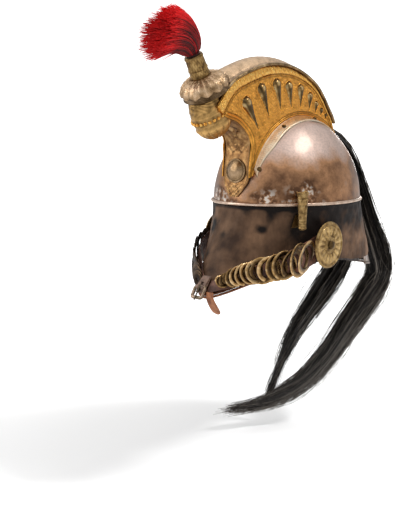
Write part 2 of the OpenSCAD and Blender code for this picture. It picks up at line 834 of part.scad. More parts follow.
// Pivot plate: an eye on the post and a tongue riveted over the strap's end
tongue_reach = 18;
tongue_angle = 16;
module pivot_plate() {
    color("#a37c3d")
        at_pivot(plate_x)
            difference() {
                union() {
                    cylinder(r = 8, h = brass);
                    rotate([0, 0, tongue_angle])
                        linear_extrude(brass)
                            polygon([[-6, -6], [6, -6], [8, -tongue_reach + 3],
                                     [0, -tongue_reach], [-8, -tongue_reach + 3]]);
                }
                translate([0, 0, -1])
                    cylinder(r = post_radius + running, h = brass + 2);
            }
}
module left_pivot_plate() {
    pivot_plate();
}
module right_pivot_plate() {
    mirror([1, 0, 0]) pivot_plate();
}

// Height of the strap's middle over the cover's lower edge, by angle
strap_rises = [[0, 10], [18, 13], [30, 13.5], [42, 12.5], [52, 13.5], [60, 16.5], [68, 20]];
// The strap follows the cover just above its lower edge. At angle a its middle is at
// strap_t, and near the pivot its sheet straightens into the plane of the pivot plate.
strap_first = 70;
strap_last = 4;
// Angle from which it leaves the cover's curve on its way to the pivot
strap_turn = 24;
function strap_t(a) = 1 - lookup(a, strap_rises) / edge_drop(a);
function strap_half(a) = 0.45 * mix(ring_small, ring_large, smooth(a / 60));
function strap_point(a, up, out) =
    let (t = strap_t(a) - up / edge_drop(a),
         p = form(a, t, strap_play + out),
         straight = smooth((a - strap_turn) / (strap_first - strap_turn)))
    [mix(p[0], tab_x + out, straight), p[1], p[2]];
module strap() {
    steps = 26;
    color("#4a3426")
        skin([for (k = [0 : steps])
            let (a = mix(strap_first, strap_last, k / steps), h = strap_half(a))
            concat([for (q = [1, 0, -1]) strap_point(a, q * h, leather)],
                   [for (q = [-1, 0, 1]) strap_point(a, q * h, 0)])]);
}
module left_strap() {
    strap();
}
module right_strap() {
    mirror([1, 0, 0]) strap();
}

// Rings lie on the strap like fallen coins: each leans by just enough to clear the next
ring_pitch = 0.36;
ring_band = 2.6;
// Angle at which the foremost ring's row ends, clear of the buckle's loop
ring_last = 12;
ring_start = 59;
path_steps = 90;
path_angles = [for (k = [0 : path_steps]) mix(ring_start, ring_last, k / path_steps)];
path_points = [for (a = path_angles) strap_point(a, 0, leather)];
function run_length(k) = k == 0 ? 0
    : run_length(k - 1) + norm(path_points[k] - path_points[k - 1]);
path_table = [for (k = [0 : path_steps]) [run_length(k), path_angles[k]]];
path_length = path_table[path_steps][0];
function ring_size(i) = mix(ring_large, ring_small, i / (rings - 1));
function ring_place(i) = i == 0 ? 0
    : ring_place(i - 1) + ring_pitch * (ring_size(i) + ring_size(i - 1)) / 2;
ring_scale = min(1, (path_length - ring_small / 2) / ring_place(rings - 1));
// Least height of a leaning ring's middle at which its whole band clears the strap's face
function ring_high(a, r, lean_angle, forward, face) =
    max([for (k = [-24 : 24], share = [-1, -0.8, -0.6, -0.3, 0, 0.3, 0.6, 0.8, 1])
        let (b = a + k * r / 28, half = strap_half(b),
             middle = strap_point(b, 0, leather),
             side = strap_point(b, sign(share) * half, leather),
             q = mix(middle, side, min(abs(share) * r, half) / half) - strap_point(a, 0, leather),
             w = norm(q))
        if (w < r + 0.5 && w > r - ring_band - 0.5)
            q * face - (q * forward) * tan(lean_angle)])
    + 0.4 * ring_thickness;
module ring_row() {
    color("#b5893f")
        for (i = [0 : rings - 1]) {
            a = lookup(ring_place(i) * ring_scale + 0.01, path_table);
            d = ring_size(i);
            forward = unit(strap_point(a - 1, 0, leather) - strap_point(a + 1, 0, leather));
            upward = unit(strap_point(a, 2, leather) - strap_point(a, -2, leather));
            face = unit(cross(upward, forward));
            lean_angle = asin((ring_thickness + 0.7 + 0.05 * d) / (ring_pitch * ring_scale * d));
            high = ring_high(a, d / 2, lean_angle, forward, face);
            f = forward * cos(lean_angle) + face * sin(lean_angle);
            n = cross(upward, f);
            c = strap_point(a, 0, leather) + face * high;
            multmatrix([[f[0], upward[0], n[0], c[0]], [f[1], upward[1], n[1], c[1]],
                        [f[2], upward[2], n[2], c[2]], [0, 0, 0, 1]])
                rotate_extrude()
                    translate([d / 2 - ring_band, -ring_thickness / 2])
                        square([ring_band, ring_thickness]);
        }
}
module left_rings() {
    ring_row();
}
module right_rings() {
    mirror([1, 0, 0]) ring_row();
}

// Buckle at the visor's tip: a leather loop in front of both strap ends holds its bar
bar_radius = 1.2;
loop_wall = 1.6;
loop_half = 6;
tab_high = 0.79;
tab_low = 0.965;
function tip(t, out) = [form_front(t) + strap_play + leather + out, -t * visor_drop];
bar_centre = tip(0.9, 5.4);
module along_bar(x0, x1, r) {
    translate([x0 + buckle_across, -bar_centre[0], bar_centre[1]])
        rotate([0, 90, 0])
            cylinder(r = r, h = x1 - x0);
}
module strap_loop() {
    color("#3c2a20")
        difference() {
            union() {
                across(buckle_across - loop_half, buckle_across + loop_half)
                    polygon([tip(tab_high, seat), tip(tab_low, seat), tip(tab_low, seat + 1.6),
                             bar_centre - [1, bar_radius + loop_wall], bar_centre,
                             bar_centre + [-1, bar_radius + loop_wall],
                             tip(tab_high, seat + 1.6)]);
                along_bar(-loop_half, loop_half, bar_radius + loop_wall);
            }
            along_bar(-loop_half - 1, loop_half + 1, bar_radius + running);
            // Slot that the prong's eye turns in
            across(buckle_across - 2, buckle_across + 2)
                translate(bar_centre)
                    circle(r = bar_radius + loop_wall + 1.2);
        }
}

// The buckle's own frame of reference: across, down the frame, and out of its face
drop_angle = 58;
buckle_across = -4;
module on_buckle() {
    c = cos(drop_angle);
    s = sin(drop_angle);
    multmatrix([[-1, 0, 0, buckle_across], [0, -c, -s, -bar_centre[0]], [0, -s, c, bar_centre[1]],
                [0, 0, 0, 1]])
        children();
}
// A rectangle about the frame's middle line with round corners
function rounded(half, y0, y1, r) = [
    for (q = [[half - r, y1 - r, 0], [r - half, y1 - r, 90],
              [r - half, y0 + r, 180], [half - r, y0 + r, 270]], k = [0 : 4])
        [q[0] + r * cos(q[2] + k * 22.5), q[1] + r * sin(q[2] + k * 22.5)]];
frame_wall = 2.4;
module buckle_frame() {
    color("#a5806a")
        on_buckle() {
            translate([0, 0, -frame_wall / 2])
                linear_extrude(frame_wall)
                    difference() {
                        polygon(rounded(buckle_half_width, -frame_wall, buckle_length, 3.4));
                        polygon(rounded(buckle_half_width - frame_wall, -frame_wall - 9,
                                        buckle_length - frame_wall, 2));
                    }
            rotate([0, 90, 0])
                translate([0, 0, 0.5 - buckle_half_width])
                    cylinder(r = bar_radius, h = 2 * buckle_half_width - 1);
        }
}
prong_radius = 1.1;
module buckle_prong() {
    eye = bar_radius + running + 1.2;
    rise = frame_wall / 2 + prong_radius + seat;
    color("#8f9a74")
        on_buckle()
            difference() {
                union() {
                    rotate([0, 90, 0])
                        translate([0, 0, -1.4])
                            cylinder(r = eye, h = 2.8);
                    aim([0, 0, rise - 0.6], [0, 1, 0.6 / buckle_length])
                        cylinder(r1 = prong_radius, r2 = 0.8, h = buckle_length + 3);
                }
                rotate([0, 90, 0])
                    translate([0, 0, -3])
                        cylinder(r = bar_radius + running, h = 6);
            }
}
// Billet: the left strap's tan tail under the visor's edge, as [across, back, down, half width]
billet_steps = [[11.6, 0, 0, 5.4], [12, -0.2, 6, 5.6], [12.6, 0.6, 10, 6.2], [13.4, 5, 18, 7],
                [13.8, 9, 24, 6.6], [14, 10.8, 26.6, 5], [14.1, 11.8, 28, 2.4]];
module billet() {
    low = strap_point(5, -strap_half(5), leather / 2)[2];
    start = [visor_reach + seat + leather / 2, low + 2];
    path = [for (q = billet_steps) start - [q[1], q[2]]];
    color("#b5713f")
        skin([for (i = [0 : len(path) - 1])
            let (x = billet_steps[i][0], half = billet_steps[i][3],
                 n = normal2(path, i) * leather / 2)
            [at_x(x + half, path[i] + n), at_x(x - half, path[i] + n),
             at_x(x - half, path[i] - n), at_x(x + half, path[i] - n)]]);
}

// The mane hangs on a pin between the crest's plates, behind the crown

mane_pin_place = share_point([-0.592, 0.871]);
mane_lean = unit([-0.842, -0.54]);
mane_side = [mane_lean[1], -mane_lean[0]];
eye_wall = 2.4;
ferrule_half = 13;
ferrule_length = 17.5;
module mane_pin_hole() {
    along_mane_pin(2 * crest_half_width, mane_pin_radius + running / 2);
}
module along_mane_pin(half, r) {
    translate(at_x(-half, mane_pin_place))
        rotate([0, 90, 0])
            cylinder(r = r, h = 2 * half);
}
module mane_pin() {
    color("#8a8076")
        along_mane_pin(crest_half_width, mane_pin_radius);
}
module mane_ferrule() {
    eye = mane_pin_radius + eye_wall;
    color("#a07c40")
        difference() {
            union() {
                along_mane_pin(ferrule_half, eye);
                across(-ferrule_half, ferrule_half)
                    polygon([for (q = [[0, eye - 0.4], [8, 5], [ferrule_length, 7],
                                       [ferrule_length, -7], [8, -5], [0, 0.4 - eye]])
                        mane_pin_place + mane_lean * q[0] + mane_side * q[1]]);
            }
            along_mane_pin(ferrule_half + 1, mane_pin_radius + running);
        }
}
// Locks: route as [across, behind the middle, up] and the lock's radius at each point
outer_route = [
    [9.5, 109, 68], [12.5, 130, 38], [14.5, 149, 2], [15, 168, -35], [15, 188, -65],
    [14, 206, -91], [12, 216, -117], [8, 209, -143], [3, 190, -166], [-5, 176, -188],
    [-15, 162, -211], [-28, 152, -237], [-43, 139, -264], [-60, 123, -288], [-80, 100, -307],
    [-100, 68, -317], [-122, 20, -318]];
outer_radii = [7, 9.5, 13, 15.5, 16.5, 17, 17, 17, 16.4, 15.6, 14.8, 14.2, 13.4, 12.5, 11, 8.6,
               4.4, 1.2];
inner_route = [
    [-10, 112, 66], [-14, 132, 36], [-17, 150, 0], [-21, 166, -38], [-26, 176, -72],
    [-32, 174, -106], [-39, 158, -132], [-47, 141, -157], [-57, 127, -180], [-68, 114, -207],
    [-78, 107, -234], [-88, 103, -262]];
inner_radii = [7, 8.5, 11, 13, 14, 14.4, 14.4, 14, 12.8, 10.7, 8.6, 6, 1.4];
function hair_root(x) = at_x(x, mane_pin_place + mane_lean * (ferrule_length + 2 * seat));
// Fluted section: the hair gathers into cords, and every second point is drawn in
flutes = 6;
function lock_section(p, i, r, turn) =
    let (d = along(p, i), side = unit(cross(d, [1, 0, 0])), wide = cross(side, d))
    [for (k = [0 : 2 * flutes - 1])
        let (a = k * 180 / flutes + turn, q = r * (k % 2 == 0 ? 1 : 0.86))
        p[i] + q * (cos(a) * side + sin(a) * wide)];
module lock(root, route, radii) {
    points = spline(concat([root], [for (q = route) q]), 2);
    sizes = spline(radii, 2);
    color("#17130f")
        skin([for (i = [0 : len(points) - 1]) lock_section(points, i, sizes[i], 0)]);
}
module mane_outer_lock() {
    lock(hair_root(7.5), outer_route, outer_radii);
}
module mane_inner_lock() {
    lock(hair_root(-7.5), inner_route, inner_radii);
}

// The lining: a leather sweatband inside the band, and tongues that rise to the crown

sweatband_height = 34;
sweatband_top = 2;
sweatband_wall = 1.6;
sweatband_reach = skull_half_length - 5.5;
function sweatband_point(a, z, out) =
    let (w = form_width(-z / side_drop) + band_inner - 0.5 + out, l = sweatband_reach + out)
    [w * sin(a), -l * cos(a), z];
module sweatband() {
    levels = [-sweatband_top, -sweatband_top - sweatband_height / 2,
              -sweatband_top - sweatband_height];
    color("#7a4f30")
        skin([for (k = [0 : 47])
            let (a = k * 7.5)
            concat([for (z = levels) sweatband_point(a, z, 0)],
                   [for (z = reversed(levels)) sweatband_point(a, z, -sweatband_wall)])],
            loop = true);
}
tongue_rise = 74;
module liner_tongues() {
    fill = 0.86;
    color("#8a5c3a")
        for (k = [0 : tongues - 1]) {
            a = (k + 0.5) * 360 / tongues;
            half = 180 / tongues * fill;
            skin([for (s = [0 : 6])
                let (rise = s / 6, height = -sweatband_top + seat + rise * tongue_rise,
                     shrink = mix(0.995, 0.34, 1 - sqrt(1 - rise * rise * 0.94)),
                     open = half * mix(1, 0.75, rise))
                flat([for (out = [0, -sweatband_wall])
                    [for (q = (out == 0 ? [-1, 0, 1] : [1, 0, -1]))
                        let (p = sweatband_point(a + q * open, -sweatband_top, out))
                        [p[0] * shrink, p[1] * shrink, height]]])]);
        }
}

skull();
rim_roll();
skull_band();
hide_cover();
visor();
visor_edge();
neck_guard();
neck_guard_edge();
crest_left_plate();
crest_right_plate();
crest_left_border();
crest_right_border();
crest_top();
crest_left_roll();
crest_right_roll();
crest_left_flange();
crest_right_flange();
crest_front_plate();
front_boss();
crest_screws();
crest_nuts();
console_cap();
console_bulb();
tuft_tube();
tuft_stem();
tuft_bristles();
plume_holder();
plume_bracket();
left_rosette();
right_rosette();
left_post();
right_post();
post_nuts();
left_pivot_plate();
right_pivot_plate();
left_strap();
right_strap();
left_rings();
right_rings();
strap_loop();
billet();
buckle_frame();
buckle_prong();
mane_pin();
mane_ferrule();
mane_outer_lock();
mane_inner_lock();
sweatband();
liner_tongues();
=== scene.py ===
"""Cuirassier helmet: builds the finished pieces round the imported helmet, laid out as an add-on.

Sizes are in millimetres inside the shape functions, and in metres in the meshes. The front of the
helmet is -Y, the wearer's left is +X, and the origin is the middle of the skull's rim.
"""

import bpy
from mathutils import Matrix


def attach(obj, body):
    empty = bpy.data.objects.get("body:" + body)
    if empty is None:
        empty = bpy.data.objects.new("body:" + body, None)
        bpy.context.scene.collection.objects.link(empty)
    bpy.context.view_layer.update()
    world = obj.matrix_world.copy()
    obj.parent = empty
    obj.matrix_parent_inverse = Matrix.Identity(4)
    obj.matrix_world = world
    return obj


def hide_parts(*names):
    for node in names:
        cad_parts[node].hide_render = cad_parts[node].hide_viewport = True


bl_info = {
    "name": "Cuirassier Helmet",
    "version": (1, 0, 0),
    "blender": (4, 5, 0),
    "location": "View3D > Sidebar > Helmet",
    "description": "Steel skull, hide turban, gilt crest, ringed chin strap and horsehair mane",
    "category": "Object",
}

import math

import bpy
import numpy as np
from mathutils import Euler, Vector

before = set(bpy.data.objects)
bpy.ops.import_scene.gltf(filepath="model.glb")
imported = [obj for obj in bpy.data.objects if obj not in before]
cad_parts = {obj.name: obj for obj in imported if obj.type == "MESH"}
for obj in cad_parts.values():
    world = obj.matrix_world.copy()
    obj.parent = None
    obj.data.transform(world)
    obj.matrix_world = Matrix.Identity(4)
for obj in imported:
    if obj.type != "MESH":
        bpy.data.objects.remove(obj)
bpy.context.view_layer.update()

MM = 0.001

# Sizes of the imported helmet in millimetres. BAND_DEPTH is a share of the form's depth, PLATE_SPAN is
# half the angle of visor and guard in degrees, and the two slopes are in radians.
SKULL = np.array([88.0, 109.0, 112.0])
STEEL = 1.2
COVER_WIDTH, COVER_LENGTH = 90.0, 110.0
LOW_WIDTH = 77.0
RIM_DEPTH, RIM_WIDTH = 2.6, 4.4
VISOR_REACH, GUARD_REACH = 166.0, 160.0
VISOR_DROP, SIDE_DROP, GUARD_DROP = 106.0, 72.0, 96.0
HIDE = 1.9
BAND_OUTER = -HIDE - 0.75
BAND_INNER = BAND_OUTER - STEEL
BAND_DEPTH = 0.424
PLATE_SPAN = 57.0
EDGE_ROLL = 1.6
CREST_HALF = 22.0
BRASS = 1.4
RIDGE = 9.0
TOP_ROLL = 1.8
CREST_EDGE, BORDER = 1.2, 12.0
FLANGE = 11.0
SEAT = 0.3
LEATHER = 1.6
STRAP_PLAY = 0.8
RING_LARGE, RING_SMALL = 37.0, 14.0
RING_BAND, RING_THICK = 5.2, 1.1
PIVOT_DROP, PIVOT_AHEAD = 48.5, 33.0
ROSETTE_RADIUS, ROSETTE_DEPTH = 29.0, 9.2
TUBE_LEAN = math.radians(29)
CAP_RADIUS, CAP_HEIGHT = 28.5, 21.0
BULB_RADIUS = 26.0
TUBE_LENGTH, TUBE_RADIUS, TUBE_BORE = 27.0, 10.5, 8.0
TUFT_LENGTH, TUFT_SWAY = 62.0, 17.0
HOLDER_LENGTH, HOLDER_MOUTH, HOLDER_BORE, HOLDER_TOP = 48.0, 8.5, 3.6, 20.0
HOLDER_PLACE = np.array([79.1, -74.12, HOLDER_TOP])
BAR_PLACE = np.array([-4.0, -166.12, -95.4])
DROP_ANGLE = math.radians(58)
BUCKLE_HALF, BUCKLE_TOP, BUCKLE_FOOT = 9.5, 15.0, -2.4
BUCKLE_ROD, BUCKLE_CORNER = 1.5, 3.0
LINING_REACH, LINING_WALL = SKULL[1] - 5.5, 1.6


# Arrays of numbers


def mix(a, b, t):
    """From a to b as t goes from 0 to 1."""
    return a + (b - a) * t


def smooth(t):
    """Three t squared less two t cubed, held between 0 and 1."""
    u = np.clip(t, 0, 1)
    return u * u * (3 - 2 * u)


def power(v, p):
    """The p-th power of v's size, with v's sign."""
    return np.sign(v) * np.abs(v) ** p


def hump(x, at, wide):
    """A bell curve: e to the power of minus the square of x's distance from at, over wide."""
    return np.exp(-(((x - at) / wide) ** 2))


def unit(v):
    """Each vector divided by its own length."""
    return v / np.maximum(np.linalg.norm(v, axis=-1, keepdims=True), 1e-9)


def turned(line):
    """Unit vectors square to a line in the plane: its own direction turned by a quarter."""
    d = unit(np.gradient(line, axis=0))
    return np.stack([d[:, 1], -d[:, 0]], 1)


def spline(points, steps):
    """A Catmull-Rom curve: a cubic between each two points, with slopes from their neighbours."""
    p = np.asarray(points, float)
    if p.ndim == 1:
        return spline(p[:, None], steps)[:, 0]
    ends = np.vstack([2 * p[0] - p[1], p, 2 * p[-1] - p[-2]])
    a, b, c, d = ends[:-3], ends[1:-2], ends[2:-1], ends[3:]
    t = (np.arange(steps) / steps)[None, :, None]
    a, b, c, d = (q[:, None, :] for q in (a, b, c, d))
    curve = 0.5 * (2 * b + (c - a) * t + (2 * a - 5 * b + 4 * c - d) * t**2
                   + (3 * b - a - 3 * c + d) * t**3)
    return np.vstack([curve.reshape(-1, p.shape[1]), p[-1:]])


def resample(points, count):
    """Points at even distances along a line."""
    p = np.asarray(points, float)
    run = np.concatenate([[0], np.cumsum(np.linalg.norm(np.diff(p, axis=0), axis=1))])
    at = np.linspace(0, run[-1], count)
    return np.stack([np.interp(at, run, p[:, k]) for k in range(p.shape[1])], 1)


def waves(points, size, seed, count=5):
    """A soft bumpy field from -1 to 1: a sum of sine waves in seeded directions and phases."""
    rng = np.random.default_rng(seed)
    way = unit(rng.normal(size=(count, points.shape[-1]))) * rng.uniform(0.6, 1.7, (count, 1))
    phase = rng.uniform(0, 2 * math.pi, count)
    field = np.sin(points @ way.T * (2 * math.pi / size) + phase)
    return field.mean(-1) * 1.6


def line_distance(points, line):
    """Distance from each point to a line of points in the plane, and how far along it lies."""
    a, b = line[:-1], line[1:]
    best = np.full(points.shape[:-1], 1e9)
    place = np.zeros(points.shape[:-1])
    lengths = np.linalg.norm(b - a, axis=1)
    start = np.concatenate([[0], np.cumsum(lengths)[:-1]])
    for p, q, length, run in zip(a, b, lengths, start):
        if length < 1e-6:
            continue
        t = np.clip(((points - p) @ (q - p)) / length**2, 0, 1)
        d = np.linalg.norm(points - p - t[..., None] * (q - p), axis=-1)
        near = d < best
        best = np.where(near, d, best)
        place = np.where(near, run + t * length, place)
    return best, place


# Meshes


def grid_faces(rows, cols, wrap_rows, wrap_cols):
    """Quads between neighbouring points of a grid that is stored row by row."""
    i = np.arange(rows if wrap_rows else rows - 1)[:, None]
    j = np.arange(cols if wrap_cols else cols - 1)[None, :]
    k, l = (i + 1) % rows, (j + 1) % cols
    quads = [i * cols + j, i * cols + l, k * cols + l, k * cols + j]
    return np.stack([np.broadcast_to(q, (len(i), j.shape[1])) for q in quads], -1).reshape(-1, 4)


def volume(points, faces):
    """Signed volume: the sum over the faces of the triple product of their corners, over six."""
    total = 0.0
    for f in faces:
        for k in range(1, f.shape[1] - 1):
            a, b, c = points[f[:, 0]], points[f[:, k]], points[f[:, k + 1]]
            total += np.einsum("ij,ij->i", a, np.cross(b, c)).sum()
    return total / 6


def skin(sections, loop=False):
    """A closed solid over sections with an even count of points. The first half of each section
    lies on one face of the sheet and the second half comes back on the other."""
    rows, n = sections.shape[:2]
    points = sections.reshape(-1, 3)
    faces = [grid_faces(rows, n, loop, True)]
    if not loop:
        j = np.arange(n // 2 - 1)
        cap = np.stack([j, n - 1 - j, n - 2 - j, j + 1], -1)
        faces += [cap, (cap + (rows - 1) * n)[:, ::-1]]
    if volume(points, faces) < 0:
        faces = [f[:, ::-1] for f in faces]
    return points, faces


def sheet_solid(outer, inner, loop=False):
    """A sheet of metal or leather between two grids of points, closed round all its edges."""
    return skin(np.concatenate([outer, inner[:, ::-1]], 1), loop)


def ring_sections(path, radii, sides):
    """Round sections across a path: centre + r (cos a * side + sin a * up)."""
    d = unit(np.gradient(path, axis=0))
    side = unit(np.cross(d, [0, 0, 1.0]))
    up = np.cross(side, d)
    a = (np.arange(sides) / sides * 2 * math.pi)[None, :, None]
    r = np.asarray(radii, float).reshape(-1, 1, 1)
    return path[:, None] + r * (np.cos(a) * side[:, None] + np.sin(a) * up[:, None])


def tube(path, radius, sides):
    """A round tube of even radius along a path."""
    return skin(ring_sections(path, np.full(len(path), radius), sides))


def strands(paths, radii, sides=3):
    """Many thin closed tubes at once: paths is strand by point by 3, radii strand by point."""
    count, steps = paths.shape[:2]
    d = unit(np.gradient(paths, axis=1))
    side = unit(np.cross(d, np.array([0.31, 0.17, 0.93])))
    up = np.cross(side, d)
    a = np.arange(sides) / sides * 2 * math.pi
    ring = (np.cos(a)[:, None] * side[:, :, None] + np.sin(a)[:, None] * up[:, :, None])
    points = paths[:, :, None] + radii[..., None, None] * ring
    one = grid_faces(steps, sides, False, True)
    first = (np.arange(count) * steps * sides)[:, None, None]
    body = (one[None] + first).reshape(-1, 4)
    start = np.arange(sides)[::-1][None, None] + first
    end = np.arange(sides)[None, None] + (steps - 1) * sides + first
    faces = [body, np.concatenate([start.reshape(-1, sides), end.reshape(-1, sides)])]
    points = points.reshape(-1, 3)
    if volume(points[: steps * sides], [one, faces[1][[0, count]] % (steps * sides)]) < 0:
        faces = [f[:, ::-1] for f in faces]
    return points, faces


def join(solids):
    """Several solids as one list of points and faces."""
    points, faces, first = [], [], 0
    for p, fs in solids:
        points.append(p)
        faces += [f + first for f in fs]
        first += len(p)
    return np.concatenate(points), faces


def mirrored(solid):
    """The same solid on the wearer's other side, with its faces turned to point out again."""
    points, faces = solid
    return points * [-1, 1, 1], [f[:, ::-1] for f in faces]


def add_piece(name, solid, body, material, replaces=(), tone=None):
    """Puts a solid into a mesh in metres, with a tone for each point: 0 is a dark hollow and 1 a
    worn high place. The piece rides on its body."""
    points, faces = solid
    mesh = bpy.data.meshes.new(name)
    mesh.vertices.add(len(points))
    mesh.vertices.foreach_set("co", (points * MM).astype(np.float32).ravel())
    sizes = np.concatenate([np.full(len(f), f.shape[1]) for f in faces])
    corners = np.concatenate([f.ravel() for f in faces]).astype(np.int32)
    mesh.loops.add(len(corners))
    mesh.loops.foreach_set("vertex_index", corners)
    mesh.polygons.add(len(sizes))
    mesh.polygons.foreach_set("loop_start", (np.cumsum(sizes) - sizes).astype(np.int32))
    mesh.polygons.foreach_set("use_smooth", np.ones(len(sizes), bool))
    mesh.update(calc_edges=True)
    values = np.full(len(points), 0.6) if tone is None else np.clip(tone, 0, 1).ravel()
    layer = mesh.attributes.new("tone", "FLOAT", "POINT")
    layer.data.foreach_set("value", values.astype(np.float32))
    mesh.set_sharp_from_angle(angle=math.radians(50))
    piece = bpy.data.objects.new(name, mesh)
    bpy.context.scene.collection.objects.link(piece)
    mesh.materials.append(material)
    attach(piece, body)
    if replaces:
        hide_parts(*replaces)
    return piece


def add_pair(name, solid, body, material, replaces, tone):
    """Adds a piece at the wearer's left, then its mirror image at the right. In the names, a star
    stands for the side."""
    return [add_piece(name.replace("*", side), shape, body, material,
                      [node.replace("*", side) for node in replaces], tone)
            for side, shape in (("left", solid), ("right", mirrored(solid)))]


def both_faces(tone, back):
    """Tones for both faces of a sheet: the given ones outside, and one plain tone on its back."""
    return np.concatenate([tone, np.full(tone.shape, back)], 1)


# Materials


class Finish:
    """A material that is being put together: nodes are added and linked by name."""

    def __init__(self, name):
        """Starts with a shader, the piece's own coordinates and the tone of its points."""
        self.material = bpy.data.materials.new(name)
        self.material.use_nodes = True
        self.tree = self.material.node_tree
        self.tree.nodes.clear()
        out = self.add("OutputMaterial")
        self.shader = self.add("BsdfPrincipled")
        self.link(self.shader.outputs[0], out.inputs[0])
        self.place = self.add("TexCoord").outputs["Object"]
        tone = self.add("Attribute")
        tone.attribute_name = "tone"
        self.tone = tone.outputs["Fac"]

    def add(self, kind):
        """Adds a shader node of a kind."""
        return self.tree.nodes.new("ShaderNode" + kind)

    def link(self, source, target):
        """Joins an output socket to an input socket."""
        self.tree.links.new(source, target)

    def feed(self, socket, value):
        """Gives an input socket another socket's output, a number or a colour."""
        if isinstance(value, bpy.types.NodeSocket):
            self.link(value, socket)
        elif hasattr(value, "__len__"):
            socket.default_value = (*value[:3], 1)
        else:
            socket.default_value = value

    def set(self, **values):
        """Sets the shader's own numbers and colours."""
        for name, value in values.items():
            self.shader.inputs[name.replace("_", " ")].default_value = value

    def noise(self, size, detail=4.0, stretch=None):
        """Cloudy noise whose patches are about size millimetres wide."""
        node = self.add("TexNoise")
        node.inputs["Scale"].default_value = 1 / (size * MM)
        node.inputs["Detail"].default_value = detail
        place = self.place
        if stretch is not None:
            mapping = self.add("Mapping")
            mapping.inputs["Scale"].default_value = stretch
            self.link(place, mapping.inputs["Vector"])
            place = mapping.outputs["Vector"]
        self.link(place, node.inputs["Vector"])
        return node.outputs["Fac"]

    def cells(self, size):
        """Distance to the nearest of many points scattered size millimetres apart."""
        node = self.add("TexVoronoi")
        node.inputs["Scale"].default_value = 1 / (size * MM)
        self.link(self.place, node.inputs["Vector"])
        return node.outputs["Distance"]

    def ramp(self, value, stops):
        """Colours or numbers at places from 0 to 1."""
        node = self.add("ValToRGB")
        elements = node.color_ramp.elements
        for k, (place, colour) in enumerate(stops):
            if not hasattr(colour, "__len__"):
                colour = (colour, colour, colour)
            e = elements[k] if k < 2 else elements.new(place)
            e.position = place
            e.color = (*colour[:3], 1)
        self.link(value, node.inputs["Fac"])
        return node.outputs["Color"]

    def blend(self, share, a, b, mode="MIX"):
        """Mixes colour a towards colour b by share. Each may be a socket or a value."""
        node = self.add("Mix")
        node.data_type = "RGBA"
        node.blend_type = mode
        sockets = [s for s in node.inputs if s.enabled]
        for socket, value in zip(sockets, (share, a, b)):
            self.feed(socket, value)
        return [s for s in node.outputs if s.enabled][0]

    def maths(self, kind, a, b=0.0):
        """One sum, product, power or the like of two numbers."""
        node = self.add("Math")
        node.operation = kind
        self.feed(node.inputs[0], a)
        self.feed(node.inputs[1], b)
        return node.outputs[0]

    def bump(self, height, depth, onto=None):
        """Tilts the surface as if height stood depth millimetres proud of it."""
        node = self.add("Bump")
        node.inputs["Distance"].default_value = depth * MM
        self.link(height, node.inputs["Height"])
        if onto is not None:
            self.link(onto, node.inputs["Normal"])
        return node.outputs["Normal"]

    def done(self, colour, rough, normal=None):
        """Links the shader's colour, roughness and normal, and gives the material."""
        for name, source in (("Base Color", colour), ("Roughness", rough), ("Normal", normal)):
            if source is not None:
                self.link(source, self.shader.inputs[name])
        return self.material


def metal(name, bright, base, dark, rough, stain, grain=0.5, depth=0.06, hollow=0.75):
    """Old metal: cloudy patina between three colours, darker in hollows and brighter where worn."""
    f = Finish(name)
    cloud = f.noise(stain, 7)
    colour = f.ramp(cloud, [(0.3, dark), (0.5, base), (0.72, bright)])
    speck = f.ramp(f.noise(stain / 9, 5), [(0.35, 0.62), (0.6, 1.0)])
    colour = f.blend(0.7, colour, speck, "MULTIPLY")
    worn = f.ramp(f.tone, [(0.1, 1.0), (0.6, 0.0)])
    colour = f.blend(f.maths("MULTIPLY", worn, hollow), colour, [c * 0.32 for c in dark])
    polish = f.ramp(f.tone, [(0.6, 0.0), (1.0, 1.0)])
    colour = f.blend(f.maths("MULTIPLY", polish, 0.6), colour, bright)
    f.set(Metallic=1.0)
    gloss = f.ramp(cloud, [(0.3, rough[1]), (0.7, rough[0])])
    fine = f.bump(f.noise(grain, 3), depth)
    return f.done(colour, gloss, f.bump(cloud, depth * 2.5, onto=fine))


def skull_finish(grey, brown, stain, bright):
    """Old steel: grey where the tone is high, brown patina below, and scratched mottling by the rim
    where the tone is near 0."""
    f = Finish("aged_steel")
    cloud = f.noise(38, 5)
    blotch = f.maths("ADD", cloud, f.maths("MULTIPLY", f.noise(11, 8), 0.6))
    share = f.maths("ADD", f.tone, f.maths("MULTIPLY", f.maths("SUBTRACT", blotch, 0.8), 0.52))
    colour = f.ramp(share, [(0.2, stain), (0.42, brown), (0.62, mix(np.array(brown), np.array(grey), 0.55)),
                            (0.85, grey)])
    speck = f.ramp(f.noise(2.6, 6), [(0.36, 0.6), (0.58, 1.0)])
    colour = f.blend(0.45, colour, speck, "MULTIPLY")
    mottle = f.ramp(f.noise(5.5, 12), [(0.42, stain), (0.52, brown), (0.6, bright)])
    colour = f.blend(f.ramp(f.tone, [(0.04, 0.85), (0.26, 0.0)]), colour, mottle)
    f.set(Metallic=1.0)
    gloss = f.ramp(share, [(0.2, 0.3), (0.8, 0.41)])
    fine = f.bump(f.noise(0.8, 3), 0.012)
    return f.done(colour, gloss, f.bump(f.noise(16, 5), 0.06, onto=fine))


def leather(name, light, base, dark):
    """Leather: cloudy colour, creased grain, and dark hollows where the tone is low."""
    f = Finish(name)
    cloud = f.noise(9, 6)
    colour = f.ramp(cloud, [(0.3, dark), (0.5, base), (0.74, light)])
    worn = f.ramp(f.tone, [(0.05, 1.0), (0.5, 0.0)])
    colour = f.blend(f.maths("MULTIPLY", worn, 0.85), colour, [c * 0.25 for c in dark])
    gloss = f.ramp(cloud, [(0.3, 0.7), (0.7, 0.42)])
    creases = f.bump(f.cells(1.1), 0.16)
    return f.done(colour, gloss, f.bump(f.noise(4, 4), 0.25, onto=creases))


